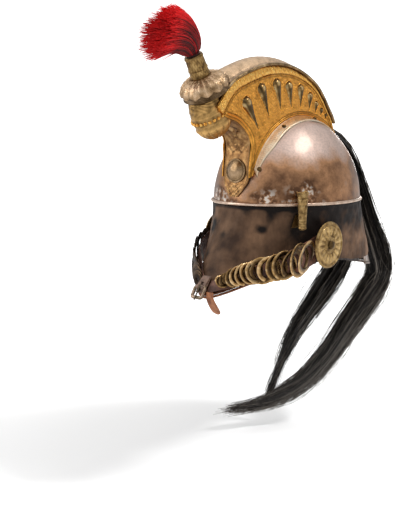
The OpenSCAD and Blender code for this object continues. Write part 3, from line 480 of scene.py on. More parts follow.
def hide_finish(light, base, dark):
    """Worn hide whose fur is gone: upright streaks, dark blots, and black where the tone is low."""
    f = Finish("worn_hide")
    streaks = f.noise(4.5, 5, (1, 1, 0.14))
    cloud = f.noise(30, 6)
    colour = f.ramp(cloud, [(0.32, dark), (0.5, base), (0.68, light)])
    colour = f.blend(0.35, colour, f.ramp(streaks, [(0.3, 0.5), (0.65, 1.0)]), "MULTIPLY")
    black = f.ramp(f.maths("ADD", f.tone, f.maths("MULTIPLY", f.noise(8, 9), 0.6)),
                   [(0.35, 1.0), (1.0, 0.0)])
    colour = f.blend(black, colour, (0.009, 0.006, 0.005))
    gloss = f.ramp(cloud, [(0.3, 0.6), (0.7, 0.48)])
    f.set(Metallic=0.0, Specular_IOR_Level=0.12)
    coarse = f.bump(streaks, 0.2)
    return f.done(colour, gloss, f.bump(f.noise(1.0, 4), 0.15, onto=coarse))


def hair_finish(name, root, tip, rough, middle):
    """Hair: its colour runs from the root colour to the tip colour by the tone, with middle as the
    share of the tip's colour at the half way point, and with streaks along it. The tones that the
    mane and the tuft give carry painted shade, painted light and painted sheen as well as the
    hair's own colour."""
    f = Finish(name)
    colour = f.ramp(f.tone, [(0.0, root), (0.45, mix(np.array(root), np.array(tip), middle)), (0.85, tip)])
    colour = f.blend(0.4, colour, f.ramp(f.noise(6, 3), [(0.3, 0.5), (0.7, 1.0)]), "MULTIPLY")
    f.set(Specular_IOR_Level=0.35)
    return f.done(colour, f.ramp(f.noise(4, 2), [(0.3, rough), (0.7, rough + 0.15)]))


def shade(colour, k):
    """A colour times k, held under 1."""
    return tuple(min(1.0, x * k) for x in colour[:3])


def make_finishes(colours):
    """All the helmet's materials, by name."""
    steel, gilt, pale, olive = (colours.steel, colours.gilt, colours.pale_brass, colours.brass)
    return {
        "skull": skull_finish(steel[:], (0.55, 0.29, 0.15), (0.14, 0.07, 0.04), (0.95, 0.85, 0.75)),
        "bead": metal(
            "rim_bead", (0.85, 0.68, 0.55), (0.66, 0.46, 0.34), (0.3, 0.18, 0.12), (0.25, 0.42), stain=10),
        "bright_steel": metal(
            "bright_steel", (0.78, 0.7, 0.65), (0.48, 0.38, 0.32), (0.2, 0.13, 0.1), (0.22, 0.4), stain=12),
        "gilt": metal(
            "gilt_relief", shade(gilt, 1.15), gilt[:], shade(gilt, 0.62), (0.3, 0.46), stain=7, grain=1.6,
            depth=0.24),
        # With the teardrops' tone, this finish paints their dark reflection and their highlights.
        "drop": metal(
            "polished_drop_painted_light", (1.0, 0.74, 0.36), (0.58, 0.34, 0.12), (0.14, 0.09, 0.04), (0.16, 0.24),
            stain=9, depth=0.01, hollow=0.92),
        "border": metal(
            "grained_gilt", (1.0, 0.66, 0.2), (1.0, 0.5, 0.1), (0.62, 0.27, 0.05), (0.22, 0.36), stain=4,
            grain=2.4, depth=0.4),
        "pale": metal("pale_brass", shade(pale, 1.2), pale[:], shade(pale, 0.55), (0.28, 0.45), stain=12),
        "pale_chased": metal(
            "chased_pale_brass", (0.88, 0.64, 0.42), (0.5, 0.32, 0.17), (0.2, 0.12, 0.055), (0.36, 0.5),
            stain=8, hollow=0.9),
        "roll": metal(
            "crest_roll", (0.7, 0.52, 0.3), (0.36, 0.24, 0.12), (0.14, 0.09, 0.045), (0.3, 0.5), stain=10),
        "flange": metal(
            "flange_brass", (1.0, 0.88, 0.7), (0.98, 0.76, 0.52), (0.75, 0.5, 0.28), (0.26, 0.42), stain=12),
        "plate": metal(
            "front_plate_brass", (0.55, 0.33, 0.14), (0.4, 0.21, 0.08), (0.2, 0.1, 0.045), (0.32, 0.5),
            stain=8, hollow=0.9),
        "boss": metal(
            "boss_brass", (0.6, 0.41, 0.25), (0.36, 0.23, 0.12), (0.18, 0.11, 0.05), (0.22, 0.32), stain=12,
            depth=0.02),
        "olive": metal(
            "old_brass", shade(olive, 1.7), shade(olive, 1.15), shade(olive, 0.45), (0.3, 0.5), stain=9,
            hollow=0.9),
        "worn_brass": metal(
            "worn_brass", (0.85, 0.6, 0.27), (0.52, 0.33, 0.13), (0.17, 0.1, 0.04), (0.28, 0.5), stain=6),
        "chain": metal(
            "chain_brass", (0.62, 0.41, 0.17), (0.36, 0.22, 0.08), (0.12, 0.07, 0.03), (0.28, 0.5), stain=6),
        "link": metal(
            "link_brass", (1.0, 0.72, 0.4), (0.6, 0.36, 0.14), (0.2, 0.11, 0.045), (0.2, 0.42), stain=5,
            hollow=0.95),
        # Painted shade: a darker copy of the link brass for the rings on the far, right-hand side.
        "shaded_far_link": metal(
            "links_in_painted_shade", (0.22, 0.14, 0.08), (0.1, 0.06, 0.035), (0.04, 0.025, 0.015), (0.35, 0.55),
            stain=6),
        "buckle": metal(
            "buckle_brass", (0.5, 0.37, 0.28), (0.3, 0.21, 0.15), (0.12, 0.11, 0.06), (0.25, 0.45), stain=4),
        "iron": metal(
            "dull_iron", (0.36, 0.34, 0.32), (0.2, 0.18, 0.17), (0.08, 0.06, 0.05), (0.4, 0.6), stain=6),
        "dark_leather": leather(
            "dark_leather", (0.2, 0.085, 0.05), (0.11, 0.045, 0.028), (0.035, 0.015, 0.01)),
        "grey_leather": leather("grey_leather", (0.27, 0.17, 0.12), (0.17, 0.1, 0.07), (0.06, 0.035, 0.025)),
        "visor_lip": metal(
            "visor_lip", (0.5, 0.24, 0.13), (0.3, 0.12, 0.06), (0.12, 0.05, 0.03), (0.35, 0.55), stain=9),
        "tan_leather": leather("tan_leather", (0.52, 0.2, 0.075), (0.36, 0.13, 0.05), (0.17, 0.055, 0.022)),
        "lining": leather("lining_leather", (0.34, 0.17, 0.08), (0.22, 0.1, 0.045), (0.09, 0.04, 0.02)),
        "hide": hide_finish((0.2, 0.112, 0.064), (0.12, 0.066, 0.038), (0.045, 0.024, 0.015)),
        # The horsehair's pale tip colour goes to the few bright groups of hairs: partly their own colour,
        # partly painted sheen.
        "horsehair": hair_finish("black_horsehair", (0.004, 0.003, 0.003), (0.4, 0.35, 0.3), 0.34, 0.05),
        # The red bristles' near-black root colour is where the tuft's painted shade reaches.
        "bristle": hair_finish("red_bristle", (0.03, 0.001, 0.002), colours.tuft[:3], 0.5, 0.35),
        "wood": leather("stem_wood", (0.3, 0.17, 0.09), (0.2, 0.1, 0.05), (0.09, 0.045, 0.02)),
    }


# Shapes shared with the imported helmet


def form(angle, t, out=0.0):
    """The flared form of turban, visor and guard. angle runs from the front to the wearer's left in
    degrees and t from 0 at the rim to 1 at the lower edge: a superellipse at each height."""
    a = np.radians(angle)
    front = np.cos(a) > 0
    p = 2 / np.where(front, 2 - 0.3 * t, 2 + 0.3 * t)
    reach = np.where(front, mix(COVER_LENGTH, VISOR_REACH, t**1.4), mix(COVER_LENGTH, GUARD_REACH, t))
    width = mix(COVER_WIDTH, LOW_WIDTH, t**0.7)
    return np.stack(np.broadcast_arrays(
        (width + out) * power(np.sin(a), p), -(reach + out) * power(np.cos(a), p),
        -t * edge_drop(angle)), -1)


def edge_drop(angle):
    """Depth of the lower edge under the rim at an angle."""
    c = np.cos(np.radians(angle))
    share = np.abs(c) ** np.where(c > 0, 2 / 1.7, 2 / 2.3)
    return np.where(c > 0, mix(SIDE_DROP, VISOR_DROP, share**2.6), mix(SIDE_DROP, GUARD_DROP, share))


# Dark worn spots of the hide: angle from the front, share of the depth, width
HIDE_SPOTS = [(27, 0.27, 6.5), (-6, 0.34, 6), (13, 0.03, 8), (-24, 0.3, 12), (-24, 0.62, 9), (31, 0.3, 5),
              (60, 0.34, 14), (-150, 0.4, 15), (150, 0.3, 12), (-27, 0.27, 6)]


def form_sheet(angles, low, high, outer, inner, steps, bumps=None):
    """A sheet between two offsets of the form, from t low to t high at each angle."""
    share = np.linspace(0, 1, steps)[None, :]
    low, high = (np.broadcast_to(t, len(angles))[:, None] for t in (low, high))
    a, t = np.broadcast_arrays(angles[:, None], mix(low, high, share))
    lift = 0 if bumps is None else bumps(a, t)
    return form(a, t, outer + lift), form(a, t, inner + lift)


def skull_z(x, ahead, out=0.0):
    """Height of the skull's ellipsoid over a point of the rim's plane."""
    s = SKULL + out
    return s[2] * np.sqrt(np.maximum(0, 1 - (x / s[0]) ** 2 - (ahead / s[1]) ** 2))


def share_points(points):
    """Side-view points given as shares of the skull's half length and height."""
    return np.asarray(points, float) * [SKULL[1], SKULL[2]]


# The crest seen from the side: the skull's half length and height are 1. Its upper line runs from
# the console back to the rear corner, and its front line from the foot of the front plate upwards.
PLATE_INNER = CREST_HALF - BRASS
CREST_REAR = 0.70
REAR_CORNER = np.array([-CREST_REAR * SKULL[1], skull_z(PLATE_INNER, -CREST_REAR * SKULL[1], 0.5) + 4])
UPPER_LINE = spline(np.vstack([share_points(
    [[1.52, 1.08], [1.34, 1.286], [1.13, 1.402], [0.67, 1.527], [0.2, 1.508], [-0.24, 1.328],
     [-0.53, 1.03], [-0.625, 0.89]]), REAR_CORNER]), 20)
FRONT_LINE = spline(share_points(
    [[0.975, 0.31], [0.97, 0.41], [0.955, 0.536], [0.945, 0.67], [1.0, 0.786], [1.165, 0.91],
     [1.376, 0.97], [1.49, 1.03]]), 12)

# Teardrops from front to rear: head and tail in hundredths of that, and 0.7 of the head's radius
TEARDROPS = [
    ([103, 111], [82, 84], 5.6), ([77, 126], [63, 98], 5.2), ([50, 132], [41, 105], 5.0),
    ([27, 130], [21, 108], 4.6), ([4, 128], [3, 108], 4.1), ([-15, 120], [-14, 105], 3.5),
    ([-28, 111], [-27, 102], 2.9), ([-39, 104], [-38, 99], 2.3), ([-48, 98], [-47, 95], 1.7)]

# Places of the border's and the teardrops' finishes among the side plates' materials
BORDER_FINISH, DROP_FINISH = 1, 2


def lower_line(out, count=97):
    """Where the crest's side plate meets the skull, moved out by a distance."""
    ahead = np.linspace(-CREST_REAR, 0.915, count) * SKULL[1]
    return np.stack([ahead, skull_z(PLATE_INNER, ahead, 0.5 + out)], 1)


def at_x(x, flat):
    """Side-view points, ahead and up, put into space at x."""
    return np.stack(np.broadcast_arrays(x, -flat[..., 0], flat[..., 1]), -1)


LEAN = np.array([math.sin(TUBE_LEAN), math.cos(TUBE_LEAN)])
CAP_FOOT = share_points([1.465, 1.22])


def lean_frame(foot):
    """Origin, forward-and-down direction, sideways direction and axis of the leaning console."""
    axis = np.array([0, -LEAN[0], LEAN[1]])
    side = np.array([1.0, 0, 0])
    return at_x(0, np.asarray(foot, float)), np.cross(side, axis), side, axis


def revolve(profile, place, steps=96, relief=None, inner=None):
    """Turns a profile of radius and height about an axis. relief(s, a) lifts the face along its own
    normal at share s of the profile and angle a. With inner, a second profile closes the wall."""
    origin, u, v, w = place
    p = np.asarray(profile, float)
    a = np.linspace(0, 2 * math.pi, steps, endpoint=False)[:, None]
    n = turned(p)
    if (n[:, 0] * p[:, 0]).sum() < 0:
        n = -n
    s = np.linspace(0, 1, len(p))[None, :]
    lift = np.zeros((steps, len(p))) if relief is None else relief(s, a)
    r = np.maximum(p[:, 0] + n[:, 0] * lift, 0.02)
    z = p[:, 1] + n[:, 1] * lift
    if inner is not None:
        q = np.asarray(inner, float)[::-1]
        r = np.concatenate([r, np.broadcast_to(q[:, 0], (steps, len(q)))], 1)
        z = np.concatenate([z, np.broadcast_to(q[:, 1], (steps, len(q)))], 1)
        lift = np.concatenate([lift, np.zeros((steps, len(q)))], 1)
    points = origin + r[..., None] * (np.cos(a)[..., None] * u + np.sin(a)[..., None] * v) \
        + z[..., None] * w
    return skin(points, loop=True), lift


def upright(place):
    """A frame whose axis is +Z."""
    return np.asarray(place, float), np.array([1.0, 0, 0]), np.array([0, 1.0, 0]), np.array([0, 0, 1.0])


def bead_row(centres, radius, steps=8):
    """Small round beads, each a sphere of few faces."""
    lat = np.linspace(-88, 88, 6) * math.pi / 180
    lon = np.arange(steps) / steps * 2 * math.pi
    ball = np.stack([np.cos(lat)[:, None] * np.cos(lon), np.cos(lat)[:, None] * np.sin(lon),
                     np.broadcast_to(np.sin(lat)[:, None], (6, steps))], -1)
    return join([skin(c + radius * ball) for c in centres])


# The chin strap's path

# Height of the strap's middle over the turban's lower edge, at angles from the front
RISES = np.array([[0, 10], [18, 13], [30, 13.5], [42, 12.5], [52, 13.5], [60, 16.5], [68, 20]], float)
STRAP_FIRST, STRAP_LAST = 70.0, 4.0
PIVOT_ANGLE = 73.0
TAB_X = float(form(np.array(PIVOT_ANGLE + 3), np.array((PIVOT_DROP - 15) / SIDE_DROP))[0]) + STRAP_PLAY
PLATE_X = TAB_X + LEATHER + SEAT
ROSETTE_X = PLATE_X + BRASS + SEAT


def strap_point(a, up, out):
    """A point of the strap: it follows the turban above its lower edge, and straightens into the
    pivot's plane. up is the height over its middle and out the distance from its inner face."""
    t = 1 - np.interp(a, RISES[:, 0], RISES[:, 1]) / edge_drop(a) - up / edge_drop(a)
    p = form(a, t, STRAP_PLAY + out)
    straight = smooth((a - 24) / (STRAP_FIRST - 24))
    p[..., 0] = mix(p[..., 0], TAB_X + out, straight)
    return p


def strap_half(a):
    """Half the strap's width at an angle."""
    return 0.485 * mix(RING_SMALL, RING_LARGE, smooth(a / 60))


# Settings


class HelmetSizes(bpy.types.PropertyGroup):
    """Sizes that a user would change."""

    hide_bumps: bpy.props.FloatProperty(
        name="Hide bumps", description="Height of the bumps in the worn hide", default=0.0004,
        min=0, max=0.001, unit="LENGTH")
    dents: bpy.props.FloatProperty(
        name="Skull dents", description="Depth of the dents in the steel skull", default=0.0004,
        min=0, max=0.001, unit="LENGTH")
    outer_hairs: bpy.props.IntProperty(
        name="Hairs, outer lock", description="Number of hairs in the mane's outer lock",
        default=1150, min=100, max=1300)
    inner_hairs: bpy.props.IntProperty(
        name="Hairs, inner lock", description="Number of hairs in the mane's inner lock",
        default=1000, min=100, max=1300)
    loose_hairs: bpy.props.IntProperty(
        name="Loose hairs", description="Number of hairs that stand off from the mane",
        default=600, min=0, max=900)
    bristles: bpy.props.IntProperty(
        name="Bristles", description="Number of bristles in the tuft", default=3000, min=200,
        max=4500)
    floor_drop: bpy.props.FloatProperty(
        name="Floor", description="Height of the floor under the rim", default=-0.352, min=-0.6,
        max=-0.33, unit="LENGTH")


def colour_property(name, description, default):
    """A colour that can be picked, with the one it starts from."""
    return bpy.props.FloatVectorProperty(name=name, description=description, default=default,
                                         subtype="COLOR", min=0, max=1)


class HelmetColours(bpy.types.PropertyGroup):
    """Colours that a user would change."""

    steel: colour_property("Steel", "Patinated steel of the skull", (0.68, 0.52, 0.45))
    gilt: colour_property("Gilt", "Gilt brass of the crest's sides", (0.88, 0.41, 0.075))
    pale_brass: colour_property("Pale brass", "Rubbed brass of the crest's top", (0.72, 0.5, 0.31))
    brass: colour_property("Old brass", "Console, front plate and tube", (0.52, 0.31, 0.11))
    tuft: colour_property("Tuft", "Red of the tuft's tips", (0.85, 0.016, 0.018))


FINISHES = {}


def finishes_of(context):
    """The helmet's materials by name, made at the first call."""
    if not FINISHES:
        FINISHES.update(make_finishes(context.scene.helmet_colours))
    return FINISHES


# Pieces, one operator for each or for a group that belongs together


class HELMET_OT_skull(bpy.types.Operator):
    """Steel skull with its patina, and the half-round roll along its rim"""

    bl_idname = "helmet.skull"
    bl_label = "Skull and rim"

    def dome(self, out):
        """Half an ellipsoid, grown by out: its half width times cos(lat) sin(lon), its half length
        times cos(lat) cos(lon), and its height times sin(lat)."""
        lat = np.radians(np.concatenate([np.linspace(0, 84, 60), [86.5, 88.5, 89.7]]))[:, None]
        lon = np.radians(np.arange(144) * 2.5)[None, :]
        width, length, height = SKULL + out
        return np.stack(np.broadcast_arrays(
            width * np.cos(lat) * np.sin(lon), -length * np.cos(lat) * np.cos(lon),
            height * np.sin(lat)), -1)

    def patina(self, outer):
        """Tone of the steel: high and grey towards the crown, lower and brown by the rim and behind,
        darker low down on the side 36 degrees from the front as painted shade, and near 0 where it
        is scuffed, beside the front plate and by the plume holder."""
        height, ahead = outer[..., 2], -outer[..., 1]
        bearing = np.degrees(np.arctan2(np.abs(outer[..., 0]), ahead))
        grey = 0.36 + 0.54 * smooth((height - 44 + 6 * waves(outer, 30, 10)) / 30)
        grey = grey + 0.12 * smooth((ahead - 80) / 28) - 0.16 * smooth(-ahead / 70)
        # Painted shade: darker low down on the side, 36 degrees from the front.
        grey = grey - 0.22 * hump(bearing, 36, 22) * smooth((46 - height) / 24)
        places = 1.15 * hump(bearing, 18, 13) * smooth((26 - height) / 13) \
            + hump(bearing, 51, 12) * smooth((34 - height) / 14)
        scuffed = np.minimum(1, places + 0.4 * smooth((12 - height) / 10) * (ahead > 0))
        scuffed = scuffed * smooth(0.75 + waves(outer, 26, 9))
        return mix(np.maximum(grey, 0.28), 0.03, scuffed)

    def rim(self, finishes):
        """A half circle swept round the rim. Its depth and width waver by slow sine waves."""
        a = np.radians(np.arange(240) * 1.5)[:, None]
        q = np.radians(np.linspace(-90, 90, 11))[None, :]
        wave = 0.35 * np.sin(a * 7 + 1) + 0.25 * np.sin(a * 13)
        front = SEAT + RIM_DEPTH * np.cos(q) * (1 + 0.12 * wave)
        front_up = RIM_WIDTH / 2 * (1 + np.sin(q)) * (1 + 0.05 * wave)
        back = np.full((len(a), 3), SEAT)
        back_up = np.tile([[0.8, 0.5, 0.2]], (len(a), 1)) * RIM_WIDTH
        out, up = np.concatenate([front, back], 1), np.concatenate([front_up, back_up], 1)
        roll = np.stack([(SKULL[0] + out) * np.sin(a), -(SKULL[1] + out) * np.cos(a), up], -1)
        tone = np.concatenate([np.tile(0.35 + 0.5 * np.cos(q), (len(a), 1)), np.zeros(back.shape)], 1)
        add_piece("rim_bead", skin(roll, loop=True), "helmet", finishes["bead"],
                  ["rim_roll"], tone)

    def execute(self, context):
        finishes = finishes_of(context)
        dents = context.scene.helmet_sizes.dents / MM
        outer = self.dome(0.0)
        lift = waves(outer, 46, 3) * dents + waves(outer, 19, 5) * dents * 0.4
        outer = outer + unit(outer / SKULL**2) * lift[..., None]
        outer[0, :, 2] = 0
        solid = skin(np.concatenate([self.dome(-STEEL)[::-1], outer]))
        tone = np.concatenate([np.full(outer.shape[:2], 0.4), self.patina(outer)])
        add_piece("steel_skull", solid, "helmet", finishes["skull"], ["skull"], tone)
        self.rim(finishes)
        return {"FINISHED"}


class HELMET_OT_turban(bpy.types.Operator):
    """Worn hide cover, visor and neck guard with their rolled edges"""

    bl_idname = "helmet.turban"
    bl_label = "Turban, visor and guard"

    def lower_edge(self, angles):
        """Where the hide ends, as a share of the form's depth: higher at the visor's tip and over the
        guard by powers of the cosine, and a little ragged."""
        a = np.radians(angles)
        c = np.cos(a)
        low = np.where(c > 0, mix(0.97, 0.84, np.abs(c) ** 6), mix(0.975, 0.62, np.abs(c) ** 3))
        return low + 0.006 * waves(np.stack([c, np.sin(a)], 1), 0.16, 8) - 0.006

    def wear(self, outer, a, t):
        """Tone of the hide at an angle and a share of its height: brown in front and low down behind,
        and black under the rim, at the rear and in each worn spot."""
        away = np.abs(a)
        tone = 0.85 + 0.1 * waves(outer, 44, 21, 4)
        tone = tone - 0.8 * smooth(1.2 - t / mix(0.05, 0.09, smooth((away - 25) / 30)))
        low_rear = smooth((away - 84) / 14) * smooth((t - 0.25) / 0.35)
        tone = tone - 0.75 * smooth((away - 31 - 20 * t) / 20) * (1 - 0.75 * low_rear)
        tone = tone - 0.8 * smooth(1.3 - np.abs(away - 33) / 9 - t * 3.2)
        for angle, drop, wide in HIDE_SPOTS:
            spot = form(np.array(float(angle)), np.array(drop))
            tone = tone - 0.75 * hump(np.linalg.norm(outer - spot, axis=-1), 0, wide)
        return tone

    def hide(self, finishes, height):
        """The form's sheet, moved out by waves of the given height and thinned at its lower edge."""
        def bumps(a, t):
            """Two sizes of waves, the finer one drawn out upright, mostly inwards."""
            p = form(a, t)
            return height * (waves(p, 17, 11) + 0.5 * waves(p * [1, 1, 0.3], 6, 12)) - height

        angles = np.arange(288) * 1.25
        share = np.linspace(0, 1, 40)
        outer, inner = form_sheet(angles, 0.006, self.lower_edge(angles), 0.0, -HIDE, len(share), bumps)
        thin = np.minimum(1, (1 - share) * 12 + 0.35)[None, :, None]
        middle = (outer + inner) / 2
        outer = middle + (outer - middle) * thin
        inner = middle + (inner - middle) * thin
        tone = self.wear(outer, ((angles + 180) % 360 - 180)[:, None], share[None, :])
        add_piece("hide_turban", sheet_solid(outer, inner, loop=True), "helmet",
                  finishes["hide"], ["hide_cover"], both_faces(tone, 0.3))

    def execute(self, context):
        finishes = finishes_of(context)
        self.hide(finishes, context.scene.helmet_sizes.hide_bumps / MM)
        for name, middle, node, slot, finish in (
                ("visor", 0, "visor", "visor_steel", "visor_lip"),
                ("guard", 180, "neck_guard", "guard_steel", "bright_steel")):
            span = middle + np.linspace(-PLATE_SPAN, PLATE_SPAN, 116)
            outer, inner = form_sheet(span, BAND_DEPTH, 1.0, BAND_OUTER, BAND_INNER, 26)
            add_piece(f"{name}_plate", sheet_solid(outer, inner), "helmet", finishes[finish], [node])
            path = form(span, np.ones(len(span)), (BAND_OUTER + BAND_INNER) / 2) \
                - [0, 0, EDGE_ROLL + SEAT]
            add_piece(f"{name}_edge_roll", tube(path, EDGE_ROLL, 12), "helmet",
                      finishes[finish], [f"{node}_edge"])
        return {"FINISHED"}


def teardrop_relief(points, head, tail, radius):
    """One teardrop: a rod that widens from tail to head, with a round section, inside a groove and a
    thin raised frame. Gives its bulge, frame, groove, the distance to it and its polished tone,
    which is painted light: a painted dark reflection over the middle, and painted highlights at
    the head and along both sides."""
    head, tail = share_points(np.array(head) / 100), share_points(np.array(tail) / 100)
    way = head - tail
    length = np.linalg.norm(way)
    offset = points - tail
    t = np.clip((offset @ way) / length**2, 0, 1)
    reach = radius * (0.08 + 1.36 * t**1.2)
    d = np.linalg.norm(offset - t[..., None] * way, axis=-1)
    across = (way[0] * offset[..., 1] - way[1] * offset[..., 0]) / length / reach
    bulge = np.sqrt(np.maximum(0, reach**2 - d**2)) * 0.7
    rim = hump(d - reach, 1.1, 0.6) * (1.0 + 0.4 * np.clip(across, -1, 1))
    groove = hump(d - reach, 0.1, 0.4) * 0.5
    # Painted highlights: a bright spot by the head and bright bands along both sides of the drop. The low
    # tone elsewhere is a painted dark reflection.
    spot = np.linalg.norm(points - head - [0.15 * radius, 0.45 * radius], axis=-1) / (0.55 * radius)
    painted_glint = 0.08 + 1.0 * hump(spot, 0, 1) + 0.75 * smooth((across - 0.5) / 0.3) \
        + 0.3 * smooth((-across - 0.55) / 0.3)
    return bulge, rim, groove, d - reach, painted_glint


def scroll_relief(points, centre, size, turn):
    """A small C-shaped scroll: a raised arc that opens to one side, with a bead in its eye."""
    q = points - centre
    r = np.linalg.norm(q, axis=-1)
    angle = np.arctan2(q[..., 1], q[..., 0]) - turn
    opening = smooth((np.cos(angle) + 0.35) / 0.5)
    return 0.8 * hump(r, size, 0.3 * size) * opening + 0.8 * hump(r, 0, 0.32 * size)


class HELMET_OT_crest(bpy.types.Operator):
    """Embossed sides of the crest, its chased top, rolls, flanges, front plate and boss"""

    bl_idname = "helmet.crest"
    bl_label = "Crest"

    def teardrops(self, p):
        """All teardrops together: each value is that of the highest, or for the painted highlights the
        nearest.
        """
        drops, frames, grooves, painted_glints = (np.zeros(p.shape[:2]) for _ in range(4))
        near = np.full(p.shape[:2], 1e9)
        for head, tail, radius in TEARDROPS:
            bulge, rim, groove, away, painted_glint = teardrop_relief(p, head, tail, radius)
            painted_glints = np.where(away < near, painted_glint, painted_glints)
            drops, frames = np.maximum(drops, bulge), np.maximum(frames, rim)
            grooves, near = np.maximum(grooves, groove), np.minimum(near, away)
        return drops, frames, grooves, near, painted_glints

    def scrolls(self, p):
        """One scroll above and one below the middle between each two teardrops' heads."""
        height = np.zeros(p.shape[:2])
        for (a, _, ra), (b, _, rb) in zip(TEARDROPS[:-1], TEARDROPS[1:]):
            middle = share_points((np.array(a) + np.array(b)) / 200)
            outward = unit(middle - np.array([0.2, 0.62]) * SKULL[1:])
            size = 0.36 * (ra + rb) / 2 + 0.5
            turn = math.atan2(outward[1], outward[0])
            above = scroll_relief(p, middle + outward * 2.2, size, turn + 1.2)
            below = scroll_relief(p, middle - outward * (2.6 * size + 2), 0.75 * size, turn + 3.6)
            height = np.maximum(height, np.maximum(above, 0.8 * below))
        return height

    def side(self):
        """Outer and inner grids of the side plate, its tone, and which finish each place has: a
        ruled sheet between the upper edge and the lower one, lifted by the chased relief."""
        columns, rows = 396, 120
        under = resample(np.vstack([[REAR_CORNER], lower_line(0.0), FRONT_LINE]), columns)
        top = resample(UPPER_LINE[::-1], columns)
        p = mix(under[:, None], top[:, None], np.linspace(0, 1, rows)[None, :, None])
        to_top, run = line_distance(p, resample(UPPER_LINE, 140))
        to_skull, _ = line_distance(p, lower_line(0.0, 60))
        to_front, _ = line_distance(p, resample(FRONT_LINE, 50))

        # The grained border under the upper edge, which narrows towards the back
        total = np.linalg.norm(np.diff(UPPER_LINE, axis=0), axis=1).sum()
        width = BORDER * mix(1, 0.34, smooth((run / total - 0.25) / 0.55))
        across = (to_top - CREST_EDGE) / width
        strip = np.sqrt(np.maximum(0, 1 - (2 * across - 1) ** 2))
        grain = waves(p, 3.4, 31, 7) + 0.7 * waves(p, 2.2, 32, 7)
        height = strip * (2.0 + 0.45 * grain)

        # Raised lines beside the border, along the skull and along the front
        height = height + 1.0 * hump(to_top, CREST_EDGE + width + 1.0, 0.5) + 0.5 * hump(to_top, 0.5, 0.4)
        height = height + 1.3 * hump(to_skull, 2.2, 0.8) + 0.9 * hump(to_skull, 4.6, 0.6)
        inside = smooth((to_top - CREST_EDGE - width) / 1.5)
        front = smooth((p[..., 0] - 86) / 8) * inside
        for at, high in ((1.2, 1.1), (3.2, 0.9), (5.2, 1.2)):
            height = height + high * hump(to_front, at, 0.55) * np.maximum(front, to_top > width)

        # The field between them: teardrops, scrolls and a leafy, grained floor
        ground = inside * smooth((to_skull - 5.6) / 1.0) * smooth((to_front - 6.2) / 1.0)
        floor = 0.2 * waves(p, 3.0, 41, 7) + 0.14 * waves(p, 1.9, 42, 7)
        drops, frames, grooves, near, painted_glints = self.teardrops(p)
        scrolls = self.scrolls(p)
        leafy = np.maximum(0, waves(p, 5.5, 51, 5)) * smooth((near - 1.8) / 1.2)
        lobes = smooth((near - 1.6) / 2.5) * 0.5
        carved = floor + scrolls * smooth((near - 1.2) / 0.8) * 1.3 + 0.7 * leafy + lobes
        relief = height + ground * np.where(near < 0, drops, frames + carved)
        relief = relief - ground * grooves * 0.7

        tone = 0.62 + 0.09 * (relief - 0.8) + 0.5 * ground * (np.minimum(1, scrolls) + frames) \
            - 0.6 * grooves * ground + 0.26 * strip * grain + 1.0 * floor * ground \
            - 0.3 * ground * hump(scrolls, 0.22, 0.12)
        # Inside the teardrops the tone is their painted highlights and painted dark reflection.
        polished = (near < 0.1) & (ground > 0.5)
        tone = np.where(polished, painted_glints, tone)
        tone = tone - 0.9 * hump(to_top, CREST_EDGE + width, 0.9) - 0.6 * hump(to_skull, 3.4, 0.6) \
            - 0.7 * hump(to_skull, 5.8, 0.8) - 0.6 * hump(to_front, 2.2, 0.6) * front \
            - 0.6 * hump(to_front, 6.6, 0.8) * front \
            - 0.6 * hump(to_top, 3.8 + width, 0.8) - 0.8 * hump(to_top, 0.9, 0.8)
        kind = np.where(polished, DROP_FINISH, np.where((across > 0) & (across < 1), BORDER_FINISH, 0))
        return at_x(CREST_HALF + np.minimum(relief, 5.6), p), at_x(PLATE_INNER, p), tone, kind

    def sides(self, finishes):
        """The left side plate and its mirror image. Border and teardrops have finishes of their own
        on the same sheet, face by face."""
        outer, inner, tone, kind = self.side()
        plates = add_pair("crest_*_relief", sheet_solid(outer, inner), "helmet", finishes["gilt"],
                          ["crest_*_plate", "crest_*_border"], both_faces(tone, 0.3))
        columns, rows = kind.shape
        of_faces = np.zeros((columns - 1, 2 * rows), np.int32)
        of_faces[:, : rows - 1] = kind[:-1, :-1]
        for plate in plates:
            plate.data.materials.append(finishes["border"])
            plate.data.materials.append(finishes["drop"])
            index = np.zeros(len(plate.data.polygons), np.int32)
            index[: of_faces.size] = of_faces.ravel()
            plate.data.polygons.foreach_set("material_index", index)

    def top(self, finishes):
        """The ridged top plate: a raised cosine across, swept along the upper edge, with faint
        slanting leaves, and a roll along each side."""
        line = resample(UPPER_LINE[16:141], 190)
        n = turned(line)
        n = np.where((n @ [0.0, 1.0])[:, None] < -0.9, -n, n)
        n = n * np.sign((n * (line - [0, 40])).sum(1))[:, None]
        q = np.linspace(-1, 1, 41)[None, :]
        s = np.linspace(0, 1, len(line))[:, None]
        arch = np.cos(np.clip(np.abs(q) / 0.84, 0, 1) * math.pi / 2) ** 0.8
        arch = np.where(np.abs(q) > 0.84, 0, arch)
        leaf = np.abs(np.sin(s * 26 * math.pi + np.abs(q) * 4.5))
        chase = 0.35 * (leaf**0.6) * (np.abs(q) < 0.8) * smooth((s - 0.02) * 20)
        half = CREST_HALF + 0.8
        up = SEAT + BRASS + arch * (RIDGE * smooth(0.35 + 8.8 * s))
        across = np.broadcast_to(q * half, up.shape)
        outer = at_x(across, line[:, None] + n[:, None] * (up + chase)[..., None])
        inner = at_x(across, line[:, None] + n[:, None] * (up - BRASS)[..., None])
        add_piece("crest_ridge", sheet_solid(outer, inner), "helmet", finishes["pale"],
                  ["crest_top"], both_faces(0.42 + 0.75 * chase + 0.12 * arch, 0))
        for side, sign in (("left", 1), ("right", -1)):
            path = at_x(sign * (half + SEAT + TOP_ROLL), line + n * 0.8)
            add_piece(f"crest_{side}_bead", tube(path, TOP_ROLL, 14), "helmet",
                      finishes["roll"], [f"crest_{side}_roll"])

